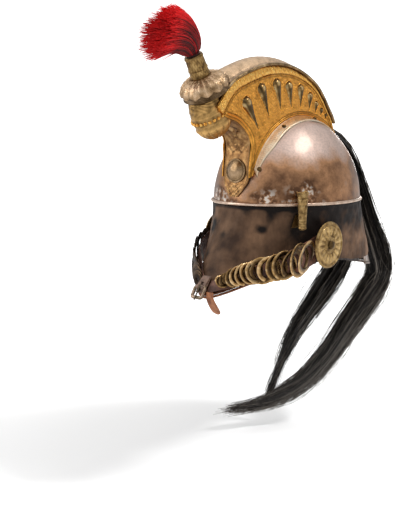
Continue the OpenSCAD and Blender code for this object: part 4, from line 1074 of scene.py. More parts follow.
    def flanges(self, finishes):
        """A flange on the skull's ellipsoid at each side, which narrows to both ends, with engraved
        feathering that fades towards the back."""
        k = np.linspace(0, 24, 240)[:, None]
        q = np.linspace(0, 1, 25)[None, :]
        share = mix(-CREST_REAR + 0.02, 0.90, k / 24)
        ahead = share * SKULL[1]
        width = FLANGE * mix(0.5, 1.14, smooth(6 * np.minimum(k, 24 - k) / 24))
        x = CREST_HALF + SEAT + q * width
        far = np.broadcast_to(ahead, x.shape)
        edge = np.stack([far[:, 0], skull_z(x[:, 0], far[:, 0])], 1)
        run = np.cumsum(np.concatenate([[0], np.linalg.norm(np.diff(edge, axis=0), axis=1)]))
        feather = np.abs(np.sin((run[:, None] * 0.55 + q * 3.4) * math.pi / 1.7))
        cut = -0.35 * (1 - smooth(feather * 2.2)) * smooth((share - 0.28) * 5)
        cut = cut * smooth((q - 0.12) * 12) * smooth((0.9 - q) * 12)
        rim = 0.4 * hump((q - 0.06) * width, 0, 0.7) + 0.25 * hump((q - 0.95) * width, 0, 0.6)
        rounded = -0.5 * smooth((q - 0.93) / 0.07)
        outer = np.stack([x, -far, skull_z(x, far, SEAT + BRASS) + cut + rim + rounded], -1)
        inner = np.stack([x, -far, skull_z(x, far, SEAT)], -1)
        add_pair("crest_*_foot", sheet_solid(outer, inner), "helmet", finishes["flange"],
                 ["crest_*_flange"], both_faces(0.72 + 1.5 * cut + 0.5 * rim, 0))

    def front_plate(self, finishes):
        """The plate between the crest's sides, from its rounded foot up under the console: a sheet
        across a curve, bowed back by the square of its width, with a stem, leaves and scales."""
        foot = [[SKULL[1] * math.sqrt(1 - s * s) + BRASS + 0.5, s * SKULL[2]] for s in (0.1, 0.16, 0.23)]
        curve = resample(spline(np.vstack([foot, FRONT_LINE[0:-12:12] - [0.3, 0]]), 14), 120)
        n = turned(curve)
        n = n * np.sign(n[:, :1])
        up, s = curve[:, 1:], np.linspace(0, 1, len(curve))[:, None]
        wide = PLATE_INNER - SEAT
        half = wide * mix(0.3, 1, np.sin(np.clip(s / 0.2, 0, 1) * math.pi / 2))
        q = np.linspace(-1, 1, 49)[None, :]
        x = q * half
        place = np.stack([x, np.broadcast_to(up, x.shape)], -1)
        stem = np.abs(x) - 3.5 * (1.2 + np.sin(up * 0.42))
        leaves = np.maximum(0, waves(np.abs(place), 6, 61, 5)) + hump(stem, 0, 0.9)
        scales = np.maximum(0, np.sin(np.abs(x) * 1.1) * np.sin(up * 1.1))
        foliage = smooth((0.86 - np.abs(q)) * 9) * (
            0.8 * leaves * smooth((s - 0.42) * 12) * smooth((0.74 - s) * 12)
            + 0.7 * scales * smooth((0.16 - s) * 20))
        lift = 0.8 * hump((1 - np.abs(q)) * half, 1.6, 0.9) + foliage
        bow = 1.0 * (x / wide) ** 2
        face = curve[:, None] - np.stack([bow, np.zeros(bow.shape)], -1)
        outer = at_x(x, face + n[:, None] * lift[..., None])
        inner = at_x(x, face - n[:, None] * BRASS)
        tone = 0.5 + 0.55 * lift - 0.45 * hump(stem, 0, 2.4) * (foliage > 0.02) \
            + 0.12 * waves(place, 9, 62)
        add_piece("front_plate_sheet", sheet_solid(outer, inner), "helmet",
                  finishes["plate"], ["crest_front_plate"], both_faces(tone, 0))

    def boss(self, finishes):
        """A dome with a rolled border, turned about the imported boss's own axis."""
        points = loose_parts(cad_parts["front_boss"])[0]
        middle = points.mean(0)
        w = np.linalg.svd(points - middle, full_matrices=False)[2][2]
        w = w * np.sign(-w[1])
        depth = (points - middle) @ w
        r = np.linalg.norm(points - middle - depth[:, None] * w, axis=1).max() * 1.24
        side = np.array([1.0, 0, 0])
        profile = spline([[r, 0], [r + 0.2, 0.9], [r - 0.9, 1.7], [r - 2.1, 1.3], [0.74 * r, 2.3],
                          [0.5 * r, 4.0], [0.25 * r, 4.9], [0.01, 5.2]], 6)
        profile = np.vstack([[[0.01, 0]], profile])
        place = middle + (depth.min() + 0.1) * w, side, np.cross(w, side), w
        solid, _ = revolve(profile, place, 72)
        hollow = hump(profile[:, 0], r - 2.1, 0.9) * (profile[:, 1] > 0.5)
        add_piece("boss_dome", solid, "helmet", finishes["boss"], ["front_boss"],
                  np.tile(0.62 - 0.5 * hollow, 72))

    def execute(self, context):
        finishes = finishes_of(context)
        self.sides(finishes)
        self.top(finishes)
        self.flanges(finishes)
        self.front_plate(finishes)
        self.boss(finishes)
        return {"FINISHED"}


def lobe(a, count, shift=0.0):
    """Place across the nearest of count equal lobes round a circle, from -1 to 1."""
    return (a / (2 * math.pi) * count + shift) % 1 * 2 - 1


class HELMET_OT_console(bpy.types.Operator):
    """Leaf-chased cap, bulb with its leaf fringe, and the tuft's tube"""

    bl_idname = "helmet.console"
    bl_label = "Console and tube"

    def leaves(self, s, a):
        """Relief of the cap: two rows of overlapping leaves, each half an ellipse across with a rib
        and with veins that fan from it, above two narrow bands."""
        top = smooth((s - 0.45) / 0.06) * smooth((1.02 - s) / 0.06)
        lift = np.zeros(np.broadcast(s, a).shape)
        for count, start, phase in ((12, 0.46, 0.0), (12, 0.68, 0.5)):
            q = lobe(a, count, phase)
            tip = start + 0.12 * np.abs(q) ** 1.6
            veins = np.abs(np.sin((np.abs(q) * 3.4 + s * 13) * math.pi))
            leaf = 0.6 * np.sqrt(np.maximum(0, 1 - q**2)) + 0.4 * veins + 0.4 * hump(q, 0, 0.09)
            lift = np.maximum(lift, smooth((s - tip) / 0.05) * leaf)
        band = hump(s, 0.42, 0.012) + hump(s, 0.3, 0.012)
        return lift * top * 1.4 + 0.6 * band

    def fringe(self, s, a):
        """Relief of the bulb: a collar chased with crossed sine waves, two narrow bands for the beads,
        then upright leaves, each half an ellipse across with slanting veins."""
        lift = 0.5 * hump(s, 0.34, 0.012) + 0.4 * hump(s, 0.48, 0.01)
        leaf = lobe(a, 14)
        body = smooth((s - 0.52) / 0.05) * smooth((0.995 - s) / 0.03)
        veins = np.abs(np.sin((np.abs(leaf) * 2.4 - s * 16) * math.pi))
        lift = lift + body * (1.7 * np.sqrt(np.maximum(0, 1 - leaf**2)) + 0.6 * veins)
        scale = np.sin(a * 12 + 3 * np.sin(s * 20)) * np.sin(s * 52 + 2 * np.sin(a * 5))
        return lift + 0.5 * smooth((s - 0.06) / 0.05) * smooth((0.32 - s) / 0.05) * scale

    def scales(self, s, a):
        """Relief of the tube: rows of small ellipses, set half a step apart from row to row."""
        q = lobe(a, 22, np.floor(s * 17) * 0.5)
        v = (s * 17) % 1
        scale = np.maximum(0, 1 - q**2 - (1.2 * v - 0.5) ** 2) ** 0.5
        return 0.55 * scale * smooth((s - 0.18) / 0.06) * smooth((0.86 - s) / 0.05)

    def cap(self, finishes):
        """The cap, turned from a profile with a moulded foot."""
        r, h = CAP_RADIUS, CAP_HEIGHT
        profile = spline([[r - 1, -1.5], [r + 0.3, -0.6], [r + 0.5, 0.6], [r - 1, 1.8], [r - 0.4, 0.16 * h],
                          [r + 0.4, 0.3 * h], [r, 0.5 * h], [r - 4, 0.75 * h], [0.6 * r, 0.93 * h],
                          [0.4 * r, h]], 9)
        inner = [[r - 1 - BRASS, -1.5], [r - 1 - BRASS, 1.5], [r - BRASS, 0.3 * h], [r - BRASS, 0.5 * h - 1],
                 [r - 5, 0.75 * h - BRASS], [0.6 * r - 0.5, 0.93 * h - BRASS], [0.4 * r, h - BRASS]]
        solid, lift = revolve(profile, lean_frame(CAP_FOOT), 200, self.leaves, inner)
        add_piece("console_leaf_cap", solid, "helmet", finishes["pale_chased"],
                  ["console_cap"], 0.16 + 0.44 * lift)

    def bulb(self, finishes):
        """The bulb, turned and then narrowed from side to side, and a row of beads in front of it."""
        b, narrow = BULB_RADIUS, np.array([0.8, 1, 1])
        face = np.array([[0.84, 0.985], [0.9, 0.9], [0.97, 0.62], [1, 0.32], [1, 0], [0.93, -0.34],
                         [0.75, -0.64], [0.48, -0.87], [0.2, -0.975], [0.001, -1]])
        outline = spline(face, 10) * b
        place = lean_frame(share_points([1.39, 0.98]))
        wall = spline(face, 3) * b * (1 - BRASS / b)
        (points, faces), lift = revolve(outline, place, 200, self.fringe, wall)
        add_piece("console_chased_bulb", (points * narrow, faces), "helmet",
                  finishes["olive"], ["console_bulb"], 0.4 + 0.32 * lift)
        origin, u, v, w = place
        a = (np.arange(26) / 26 * 2 * math.pi)[:, None]
        ring = outline[int(0.42 * len(outline))]
        centres = origin + (ring[0] + 0.3) * (np.cos(a) * u + np.sin(a) * v) + ring[1] * w
        centres = centres[np.cos(a[:, 0]) > -0.45] * narrow
        add_piece("console_beads", bead_row(centres, 2.2), "helmet", finishes["border"])

    def tube(self, finishes):
        """The tuft's tube, turned with a foot, a ring and a rolled mouth, and its bore."""
        t, l = TUBE_RADIUS, TUBE_LENGTH
        outline = spline([[t + 1.6, 0], [t + 1.8, 2], [t + 0.9, 3], [t + 0.6, l / 3], [t + 1.2, l / 3 + 1],
                          [t + 0.5, l / 3 + 2], [t, l - 4], [t + 0.6, l - 3], [t + 0.6, l - 1], [t, l]], 7)
        bore = [[0.01, 0], [0.01, 1.6], [TUBE_BORE, 1.6], [TUBE_BORE, l]]
        place = lean_frame(CAP_FOOT + LEAN * (CAP_HEIGHT + SEAT))
        solid, lift = revolve(outline, place, 132, self.scales, bore)
        add_piece("tuft_socket", solid, "helmet", finishes["chain"], ["tuft_tube"],
                  0.3 + 0.7 * lift)

    def execute(self, context):
        finishes = finishes_of(context)
        self.cap(finishes)
        self.bulb(finishes)
        self.tube(finishes)
        return {"FINISHED"}


class HELMET_OT_plume_holder(bpy.types.Operator):
    """Plume holder with its pricked face and crown-like mouth"""

    bl_idname = "helmet.plume_holder"
    bl_label = "Plume holder"

    def pricks(self, s, a):
        """Rows of round pricks over the body, each a shallow half sphere."""
        q = lobe(a, 18, np.floor(s * 30) * 0.5)
        v = (s * 30) % 1 * 2 - 1
        dot = np.maximum(0, 1 - 1.6 * (q**2 + v**2)) ** 0.5
        return -0.45 * dot * smooth((s - 0.3) / 0.04) * smooth((0.97 - s) / 0.03)

    def execute(self, context):
        finishes = finishes_of(context)
        m, l = HOLDER_MOUTH, HOLDER_LENGTH
        outline = spline([[0.01, -l], [3.6, -l + 0.8], [5.2, -l + 3], [4.8, -l + 5], [0.6 * m, -0.7 * l],
                          [0.74 * m, -11.5], [0.86 * m, -9.5], [0.74 * m, -8], [0.82 * m, -4],
                          [m - 0.6, -0.6]], 9)
        bore = [[0.01, -l + 6], [HOLDER_BORE, -l + 6.2], [HOLDER_BORE, -6], [m - 2, -0.8]]
        (points, faces), lift = revolve(outline, upright(HOLDER_PLACE), 108, self.pricks, bore)

        # Three points round the mouth rise and spread outwards by a power of a cosine
        offset = points - HOLDER_PLACE
        crown = np.maximum(0, np.cos(np.arctan2(offset[:, 1], offset[:, 0]) * 3 + 0.9)) ** 1.5
        top = smooth((offset[:, 2] + 5) / 5)
        points[:, 2] += top * (crown * 1.6 - 1.0)
        points[:, :2] += offset[:, :2] * (top * crown * 0.06)[:, None]
        add_piece("plume_socket_body", (points, faces), "helmet", finishes["worn_brass"],
                  ["plume_holder"], 0.58 + 1.1 * lift)
        return {"FINISHED"}


class HELMET_OT_chin_strap(bpy.types.Operator):
    """Rosettes, leather straps, loop and the tan billet"""

    bl_idname = "helmet.chin_strap"
    bl_label = "Chin strap"

    def petals(self, s, a):
        """Sixteen petals, each half an ellipse across with a rib, between a ring of beads in the
        rolled border and a second one round the middle."""
        q = lobe(a, 16)
        band = smooth((s - 0.54) / 0.02) * smooth((0.76 - s) / 0.02)
        petal = np.sqrt(np.maximum(0, 1 - (q * mix(0.75, 1.25, smooth((s - 0.54) / 0.2))) ** 2))
        beads = np.maximum(0, np.cos(a * 44)) * hump(s, 0.44, 0.022)
        middle = np.maximum(0, np.cos(a * 12)) * hump(s, 0.85, 0.04)
        return band * (0.95 * petal + 0.3 * hump(q, 0, 0.12)) + 0.4 * beads + 0.4 * middle

    def rosette(self, finishes):
        """A dished disc with a rolled border and a raised middle, turned about the pivot's axis."""
        r, d = ROSETTE_RADIUS, ROSETTE_DEPTH
        face = spline([[10, d - 3.6], [r - 4, d - 3.9], [r - 1, d - 4.2], [r, d - 3.6], [r, d - 2.6],
                       [r - 1.8, d - 1.5], [r - 3.6, d - 2.5], [r - 7, d - 2.1], [17, d - 1.9],
                       [12, d - 1.7], [10, d - 0.4], [8, d - 0.1], [4.5, d]], 9)
        under = [[10, d - 3.7], [9, 0.1], [2.2, 0.1], [2.2, d - 0.2], [4, d - 0.1]]
        place = (np.array([ROSETTE_X, -PIVOT_AHEAD, -PIVOT_DROP]), np.array([0, -1.0, 0]),
                 np.array([0, 0, 1.0]), np.array([1.0, 0, 0]))
        solid, lift = revolve(face, place, 220, self.petals, under)
        add_pair("*_rosette_face", solid, "helmet", finishes["worn_brass"],
                 ["*_rosette"], 0.36 + 0.42 * lift)

    def strap(self, finishes):
        """The strap's leather, with rounded edges and a sewn line along each side."""
        a = np.linspace(STRAP_FIRST, STRAP_LAST, 170)[:, None]
        q = np.linspace(-1, 1, 31)[None, :]
        up = q * strap_half(a)
        edge = strap_half(a) * (1 - np.abs(q))
        seam = -0.3 * hump(edge, 2.2, 0.45)
        stitch = 0.55 * hump(edge, 2.2, 0.4) * (np.sin(a * 4.2) > -0.2)
        soft = 0.35 * (1 - smooth(edge / 1.1))
        outer = strap_point(a, up, LEATHER - 0.1 + seam + stitch - soft)
        inner = strap_point(a, up, 0.05 + soft)
        tone = 0.55 + 1.2 * seam + 0.7 * stitch + 0.06 * waves(outer, 14, 71)
        add_pair("*_strap_leather", sheet_solid(outer, inner), "chin_strap",
                 finishes["dark_leather"], ["*_strap"], both_faces(tone, 0.35))

    def billet(self, finishes):
        """The tan end of the strap: a flat tongue with rounded edges and a rounded end."""
        # Each step: place across, distance in, distance down, half the width
        steps = np.array([[11.6, 0, 0, 5.4], [12, -0.2, 6, 5.6], [12.6, 0.6, 10, 6.2],
                          [13.4, 5, 18, 7], [13.8, 9, 24, 6.6], [14, 10.8, 26.6, 5],
                          [14.1, 11.8, 28, 2.4]])
        low = strap_point(np.array(5.0), -strap_half(5.0), LEATHER / 2)[2]
        fine = spline(steps, 12)
        path = np.array([VISOR_REACH + SEAT + LEATHER / 2, low + 2]) - fine[:, 1:3]
        n = -turned(path)
        q = np.linspace(-1, 1, 15)[None, :]
        x = fine[:, :1] + q * fine[:, 3:]
        edge = (1 - np.abs(q)) * fine[:, 3:]
        thick = LEATHER / 2 - 0.35 * (1 - smooth(edge / 1.2))
        seam = -0.2 * hump(edge, 1.6, 0.4)
        outer = at_x(x, path[:, None] + n[:, None] * (thick + seam)[..., None])
        inner = at_x(x, path[:, None] - n[:, None] * thick[..., None])
        add_piece("tan_billet", sheet_solid(outer, inner), "chin_strap",
                  finishes["tan_leather"], ["billet"], both_faces(0.6 + 1.1 * seam, 0.4))

    def loop(self, finishes):
        """The leather loop: a base on both strap ends and a fold round the buckle's bar, split for
        the prong's eye."""
        def tip(t, out):
            """Side-view point at the visor's tip, out from the strap's face."""
            return [mix(COVER_LENGTH, VISOR_REACH, t**1.4) + STRAP_PLAY + LEATHER + out,
                    -t * VISOR_DROP]

        def strip(path, low, high):
            """Leather of even thickness along a path, thinner at its edges, from x low to high."""
            x = np.linspace(low, high, 11)
            thick = 0.75 - 0.3 * (1 - smooth(np.minimum(x - low, high - x) / 0.9))
            line = resample(path, 60)
            n = -turned(line)[:, None] * thick[None, :, None]
            x = np.broadcast_to(BAR_PLACE[0] + x, n.shape[:2])
            return sheet_solid(at_x(x, line[:, None] + n), at_x(x, line[:, None] - n))

        bar = np.array([-BAR_PLACE[1], BAR_PLACE[2]])
        a = np.radians(np.linspace(112, -100, 20))
        fold = bar + 2.08 * np.stack([np.cos(a), np.sin(a)], 1)
        over = np.vstack([tip(0.79, 2.6), fold, tip(0.96, 2.6)])
        base = np.array([tip(t, 1.05) for t in np.linspace(0.785, 0.965, 12)])
        filler = np.vstack([tip(0.79, 2.6), mix(np.array(tip(0.79, 2.6)), fold[0], 0.6)])
        add_piece("folded_loop", join([strip(base, -6, 6), strip(over, -6, -2.1),
                                       strip(over, 2.1, 6), strip(filler, -2.1, 2.1)]),
                  "chin_strap", finishes["grey_leather"], ["strap_loop"])

    def execute(self, context):
        finishes = finishes_of(context)
        self.rosette(finishes)
        self.strap(finishes)
        self.billet(finishes)
        self.loop(finishes)
        return {"FINISHED"}


def loose_parts(node):
    """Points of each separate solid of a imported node, in millimetres: neighbours along the edges
    take the lower of their two labels until none changes."""
    mesh = node.data
    points = np.empty(len(mesh.vertices) * 3, np.float32)
    mesh.vertices.foreach_get("co", points)
    edges = np.empty(len(mesh.edges) * 2, np.int32)
    mesh.edges.foreach_get("vertices", edges)
    points, edges = points.reshape(-1, 3) / MM, edges.reshape(-1, 2)
    _, same = np.unique(points.round(3), axis=0, return_inverse=True)
    edges = same.ravel()[edges]
    labels = np.arange(same.max() + 1)
    for _ in range(200):
        low = np.minimum(labels[edges[:, 0]], labels[edges[:, 1]])
        fresh = labels.copy()
        np.minimum.at(fresh, edges[:, 0], low)
        np.minimum.at(fresh, edges[:, 1], low)
        if (fresh == labels).all():
            break
        labels = fresh
    of_point = labels[same.ravel()]
    return [points[of_point == k].astype(float) for k in np.unique(of_point)]


# Angles round a ring's section, and the count of sections round the ring
SECTION_ANGLES = np.arange(14) / 14 * 2 * math.pi
RING_STEPS = 56


class HELMET_OT_rings(bpy.types.Operator):
    """Brass rings of the chin strap: tipped a little on the left, laid flat on the right, where they are
    darker by painted shade
    """

    bl_idname = "helmet.rings"
    bl_label = "Chin-strap rings"

    def laid_flat(self, centre, height):
        """Centre and axis of a ring laid flat on the right-hand strap, at a height over it."""
        a = np.linspace(STRAP_LAST, STRAP_FIRST, 200)
        foot = strap_point(a, np.zeros(len(a)), LEATHER)
        face = unit(strap_point(a, np.zeros(len(a)), LEATHER + 1) - foot)
        near = np.linalg.norm(foot - centre * [-1, 1, 1], axis=1).argmin()
        return (foot[near] + face[near] * height) * [-1, 1, 1], face[near] * [-1, 1, 1]

    def ring(self, centre, axis, radius, half_band, half_thick):
        """One ring: a rounded oblong, by powers of the cosine and sine, swept round the axis."""
        u = unit(np.cross(axis, [0, 0, 1.0]))
        v = np.cross(axis, u)
        r = radius - half_band + half_band * power(np.cos(SECTION_ANGLES), 0.8)
        z = half_thick * power(np.sin(SECTION_ANGLES), 0.7)
        a = np.linspace(0, 2 * math.pi, RING_STEPS, endpoint=False)[:, None, None]
        return skin(centre + r[None, :, None] * (np.cos(a) * u + np.sin(a) * v)
                    + z[None, :, None] * axis, loop=True)

    def execute(self, context):
        finishes = finishes_of(context)
        rng = np.random.default_rng(33)
        worn = 0.5 * smooth(np.cos(SECTION_ANGLES) * 2)
        hollow = 0.3 * (np.cos(SECTION_ANGLES) < -0.5)
        # The right-hand rings get the darker copy of the brass: painted shade.
        for side, finish, tilt, full in (("left", "link", 0.42, 1.1), ("right", "shaded_far_link", 0.0, 1.5)):
            solids, tones = [], []
            for points in loose_parts(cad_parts[f"{side}_rings"]):
                centre = (points.max(0) + points.min(0)) / 2
                offset = points - centre
                axis = np.linalg.svd(offset, full_matrices=False)[2][2]
                radius = np.linalg.norm(offset, axis=1).max()

                # Small rings tip more than large ones, and each is made smaller by its own share
                axis = unit(axis + rng.uniform(-tilt, tilt, 3) * (1.3 - 1.4 * radius / RING_LARGE))
                radius = radius * (1 - 0.34 * tilt * rng.uniform())
                if side == "right":
                    centre, axis = self.laid_flat(centre, 1.1 + 1.0 * (len(solids) % 3))
                band = full * RING_BAND * (0.55 + 0.55 * radius / (RING_LARGE / 2)) / 2
                thick = RING_THICK / 2 * rng.uniform(0.9, 1.1)
                solids.append(self.ring(centre, axis, radius, band, thick))
                tones.append(np.tile(rng.uniform(-0.25, 0.45) + worn - hollow, RING_STEPS))
            add_piece(f"{side}_link_rings", join(solids), "chin_strap",
                      finishes[finish], [f"{side}_rings"], np.concatenate(tones))
        return {"FINISHED"}


class HELMET_OT_buckle(bpy.types.Operator):
    """Buckle frame of rolled brass"""

    bl_idname = "helmet.buckle"
    bl_label = "Buckle"

    def execute(self, context):
        finishes = finishes_of(context)

        # The frame's middle line: four quarter circles, open along the side where the bar is
        half, low, high = BUCKLE_HALF - BUCKLE_ROD, BUCKLE_FOOT + BUCKLE_ROD, BUCKLE_TOP - BUCKLE_ROD
        r = BUCKLE_CORNER
        path = []
        for x, y, first in ((half - r, high - r, 0), (r - half, high - r, 90),
                            (r - half, low + r, 180), (half - r, low + r, 270)):
            a = np.radians(np.linspace(0, 90, 9)) + math.radians(first)
            path.append(np.array([x, y]) + r * np.stack([np.cos(a), np.sin(a)], 1))
        path = np.concatenate(path)
        path = path[(path[:, 1] > low + 0.05) | (np.abs(path[:, 0]) > 5)]
        path = np.concatenate([path[-9:], path[:-9]])
        line = resample(np.column_stack([path, np.zeros(len(path))]), 120)

        # A rod with 26 faint turns along it and a flattened section
        rings = ring_sections(line, 2.3 + 0.12 * np.cos(np.linspace(0, 2 * math.pi * 26, 120)), 12)
        rings[..., 2] *= 0.85
        points, faces = skin(rings)
        c, s = math.cos(DROP_ANGLE), math.sin(DROP_ANGLE)
        hang = np.array([[-1, 0, 0], [0, -c, -s], [0, -s, c]]).T
        bar = np.stack([np.linspace(-8.6, 8.6, 24), np.zeros(24), np.zeros(24)], 1)
        add_piece("buckle_rolled_frame",
                  join([(points @ hang + BAR_PLACE, faces), tube(bar @ hang + BAR_PLACE, 1.2, 12)]),
                  "buckle_frame", finishes["buckle"], ["buckle_frame"])
        return {"FINISHED"}


def hair_frame(path):
    """Directions across a lock: side is square to the path and to X, wide is square to both."""
    d = unit(np.gradient(path, axis=0))
    side = unit(np.cross(d, [1.0, 0, 0]))
    return side, np.cross(side, d)


# The mane's locks: middle line, in millimetres to the left, back and up, and radius at each point
PIN_PLACE = share_points([-0.592, 0.871])
MANE_LEAN = unit(np.array([-0.842, -0.54]))
OUTER_ROUTE = [
    [9.5, 109, 68], [12.5, 130, 38], [14.5, 149, 2], [15, 168, -35], [15, 188, -65],
    [14, 206, -91], [12, 216, -117], [8, 209, -143], [3, 190, -166], [-5, 176, -188],
    [-15, 162, -211], [-28, 152, -237], [-43, 139, -264], [-60, 123, -288], [-80, 100, -307],
    [-100, 68, -317], [-122, 20, -318]]
OUTER_RADII = [7, 9.5, 13, 15.5, 16.5, 17, 17, 17, 16.4, 15.6, 14.8, 14.2, 13.4, 12.5, 11, 8.6,
               4.4, 1.2]
INNER_ROUTE = [
    [-10, 112, 66], [-14, 132, 36], [-17, 150, 0], [-21, 166, -38], [-26, 176, -72],
    [-32, 174, -106], [-39, 158, -132], [-47, 141, -157], [-57, 127, -180], [-68, 114, -207],
    [-78, 107, -234], [-88, 103, -262]]
INNER_RADII = [7, 8.5, 11, 13, 14, 14.4, 14.4, 14, 12.8, 10.7, 8.6, 6, 1.4]
LOCKS = {"outer": (7.5, OUTER_ROUTE, OUTER_RADII), "inner": (-7.5, INNER_ROUTE, INNER_RADII)}


def lock_line(name, count):
    """Middle line and radius of a lock at even steps from its root in the ferrule."""
    x, route, radii = LOCKS[name]
    root = at_x(x, PIN_PLACE + MANE_LEAN * (17.5 + 2 * SEAT))
    points = spline(np.vstack([[root], route]), 6)
    both = resample(np.column_stack([points, spline(radii, 6)]), count)
    return both[:, :3], both[:, 3]


def hair_lock(line, radii, count, seed, clumps=30, spread=0.97, part=0.0):
    """Hairs in clumps, and in groups of seven inside a clump: each keeps a place across the lock,
    wavers a little and ends near the tip. Low down, the lock parts in two by a share of its radius.
    Also gives how far along each point lies, and a tone for each hair, which holds painted light:
    lower near the lock's middle as painted shade, and high for a few groups, partly their own colour
    and partly painted sheen."""
    rng = np.random.default_rng(seed)
    side, wide = hair_frame(line)
    steps = len(line)
    s = np.linspace(0, 1, steps)

    # Each hair's place across the lock, in shares of its radius
    centre_r = np.sqrt(rng.uniform(0.03, 1, clumps)) * 0.86
    centre_a = rng.uniform(0, 2 * math.pi, clumps)
    group = np.arange(count) // 7
    clump = rng.integers(0, clumps, count)[group]
    loose = rng.normal(0, 0.09, (count, 2))[group] + rng.normal(0, 0.018, (count, 2))
    x = centre_r[clump] * np.cos(centre_a[clump]) + loose[:, 0]
    y = centre_r[clump] * np.sin(centre_a[clump]) + loose[:, 1]
    far = np.sqrt(x * x + y * y)
    scale = np.minimum(1, spread / np.maximum(far, 1e-6))
    x, y = x * scale, y * scale

    # How it drifts apart and wavers on the way down
    phase = rng.uniform(0, 2 * math.pi, (clumps, 2))[clump]
    own = rng.uniform(0, 2 * math.pi, (count, 2))[group]
    opened = part * smooth((s - 0.42) / 0.2) * np.where(x > 0.3, 1.0, -0.35)[:, None]
    drift = 1 + rng.uniform(0, 0.7, count)[group][:, None] ** 2 * smooth((s - 0.35) / 0.6)
    y = y[:, None] * drift
    x = x[:, None] * drift + opened + 0.1 * np.sin(s * 9 + phase[:, :1]) + 0.03 * np.sin(s * 31 + own[:, :1])
    y = y + 0.1 * np.sin(s * 8 + phase[:, 1:]) + 0.03 * np.sin(s * 27 + own[:, 1:])

    # Where it ends, as a share of the lock's line
    at = s[None, :] * (1 - 0.5 * rng.uniform(0, 1, count) ** 1.3)[:, None]
    low = np.minimum((at * (steps - 1)).astype(int), steps - 2)
    over = (at * (steps - 1) - low)[..., None]

    def read(field):
        """Values of the lock's line at each hair's points, in between its steps."""
        return field[low] * (1 - over) + field[low + 1] * over

    across = x[..., None] * read(side) + y[..., None] * read(wide)
    stray = rng.normal(0, 1, (count, 1, 3)) * (smooth((s - 0.62) / 0.38) * at)[..., None]
    # Tone: painted shade darkens the hairs near the lock's middle; a few bright groups are partly the hair's
    # own colour and partly painted sheen; the rest varies at random.
    tone = 0.1 * far + rng.uniform(-0.1, 0.2, clumps)[clump] \
        + np.minimum(0.95, rng.exponential(0.2, count)[group]) + rng.uniform(-0.1, 0.1, count)
    return read(line) + read(radii[:, None]) * across + 3.4 * stray, at, tone


class HELMET_OT_mane(bpy.types.Operator):
    """Horsehair mane: two hanging locks of fine hair and the loose hairs round them"""

    bl_idname = "helmet.mane"
    bl_label = "Mane"

    def lock(self, hair, name, count, seed, steps, wisp, part):
        """The hairs of a lock, thinner the further along they are. Beyond its end, a wisp goes
        straight on for some steps and narrows evenly."""
        line, radius = lock_line(name, steps)
        beyond = (line[-1] - line[-2]) * np.arange(1, wisp + 1)[:, None]
        line = np.concatenate([line, line[-1] + beyond])
        radius = np.append(radius, radius[-1] * np.linspace(0.75, 0.35, wisp))
        fuller = np.interp(np.linspace(0, 1, len(line)), [0, 0.05, 0.3, 1], [1.0, 1.4, 1.15, 1.2])
        paths, at, tone = hair_lock(line, radius * fuller, count, seed, part=part)
        add_piece(f"mane_{name}_hair", strands(paths, 0.42 * (1 - 0.62 * at)), "mane",
                  hair, [f"mane_{name}_lock"], np.repeat(tone[:, None] * np.ones(at.shape), 3))

    def core(self, hair, name):
        """A dark core inside the lock, so that no light shows through: a circle with five soft
        flutes, swept down most of the lock and tapered."""
        line, radius = lock_line(name, 60)
        side, wide = hair_frame(line)
        taper = np.interp(np.linspace(0, 1, 60), [0, 0.12, 0.3, 0.5, 0.86], [1.3, 1.2, 0.9, 0.5, 0.1])
        a = (np.arange(20) / 20 * 2 * math.pi)[None, :, None]
        flute = 0.72 + 0.06 * np.cos(a * 5)
        ring = (radius * taper)[:, None, None] * flute * (
            np.cos(a) * side[:, None] + np.sin(a) * wide[:, None])
        core = (line[:, None] + ring)[:52]
        add_piece(f"mane_{name}_core", skin(core), "mane", hair, (),
                  np.zeros(core.shape[:2]))

    def loose(self, hair, total):
        """Loose hairs: each stands off from the lock's middle by a random distance that grows on
        the way down and swells by a sine wave."""
        rng = np.random.default_rng(105)
        groups = []
        for name, share, seed in (("outer", 0.65, 105), ("inner", 0.35, 106)):
            count = int(total * share)
            line, radius = lock_line(name, 30)
            paths, at, _ = hair_lock(line, radius, count, seed, clumps=count, spread=1.0)
            away = unit(paths - paths.mean(0, keepdims=True)) * np.array([0.85, 1.2, 0.6])
            grow = smooth((at - 0.12) * 2.2) * rng.uniform(0.1, 1, (count, 1)) ** 2 * 26 \
                * (0.6 + 0.4 * np.sin(at * 9 + rng.uniform(0, 6, (count, 1))))
            groups.append(strands(paths + away * grow[..., None], np.full(at.shape, 0.24)))
        add_piece("mane_loose_hairs", join(groups), "mane", hair)

    def execute(self, context):
        hair = finishes_of(context)["horsehair"]
        sizes = context.scene.helmet_sizes
        self.lock(hair, "outer", sizes.outer_hairs, 101, 27, 0, 0.42)
        self.core(hair, "outer")
        self.lock(hair, "inner", sizes.inner_hairs, 102, 21, 3, 0.3)
        self.core(hair, "inner")
        self.loose(hair, sizes.loose_hairs)
        return {"FINISHED"}


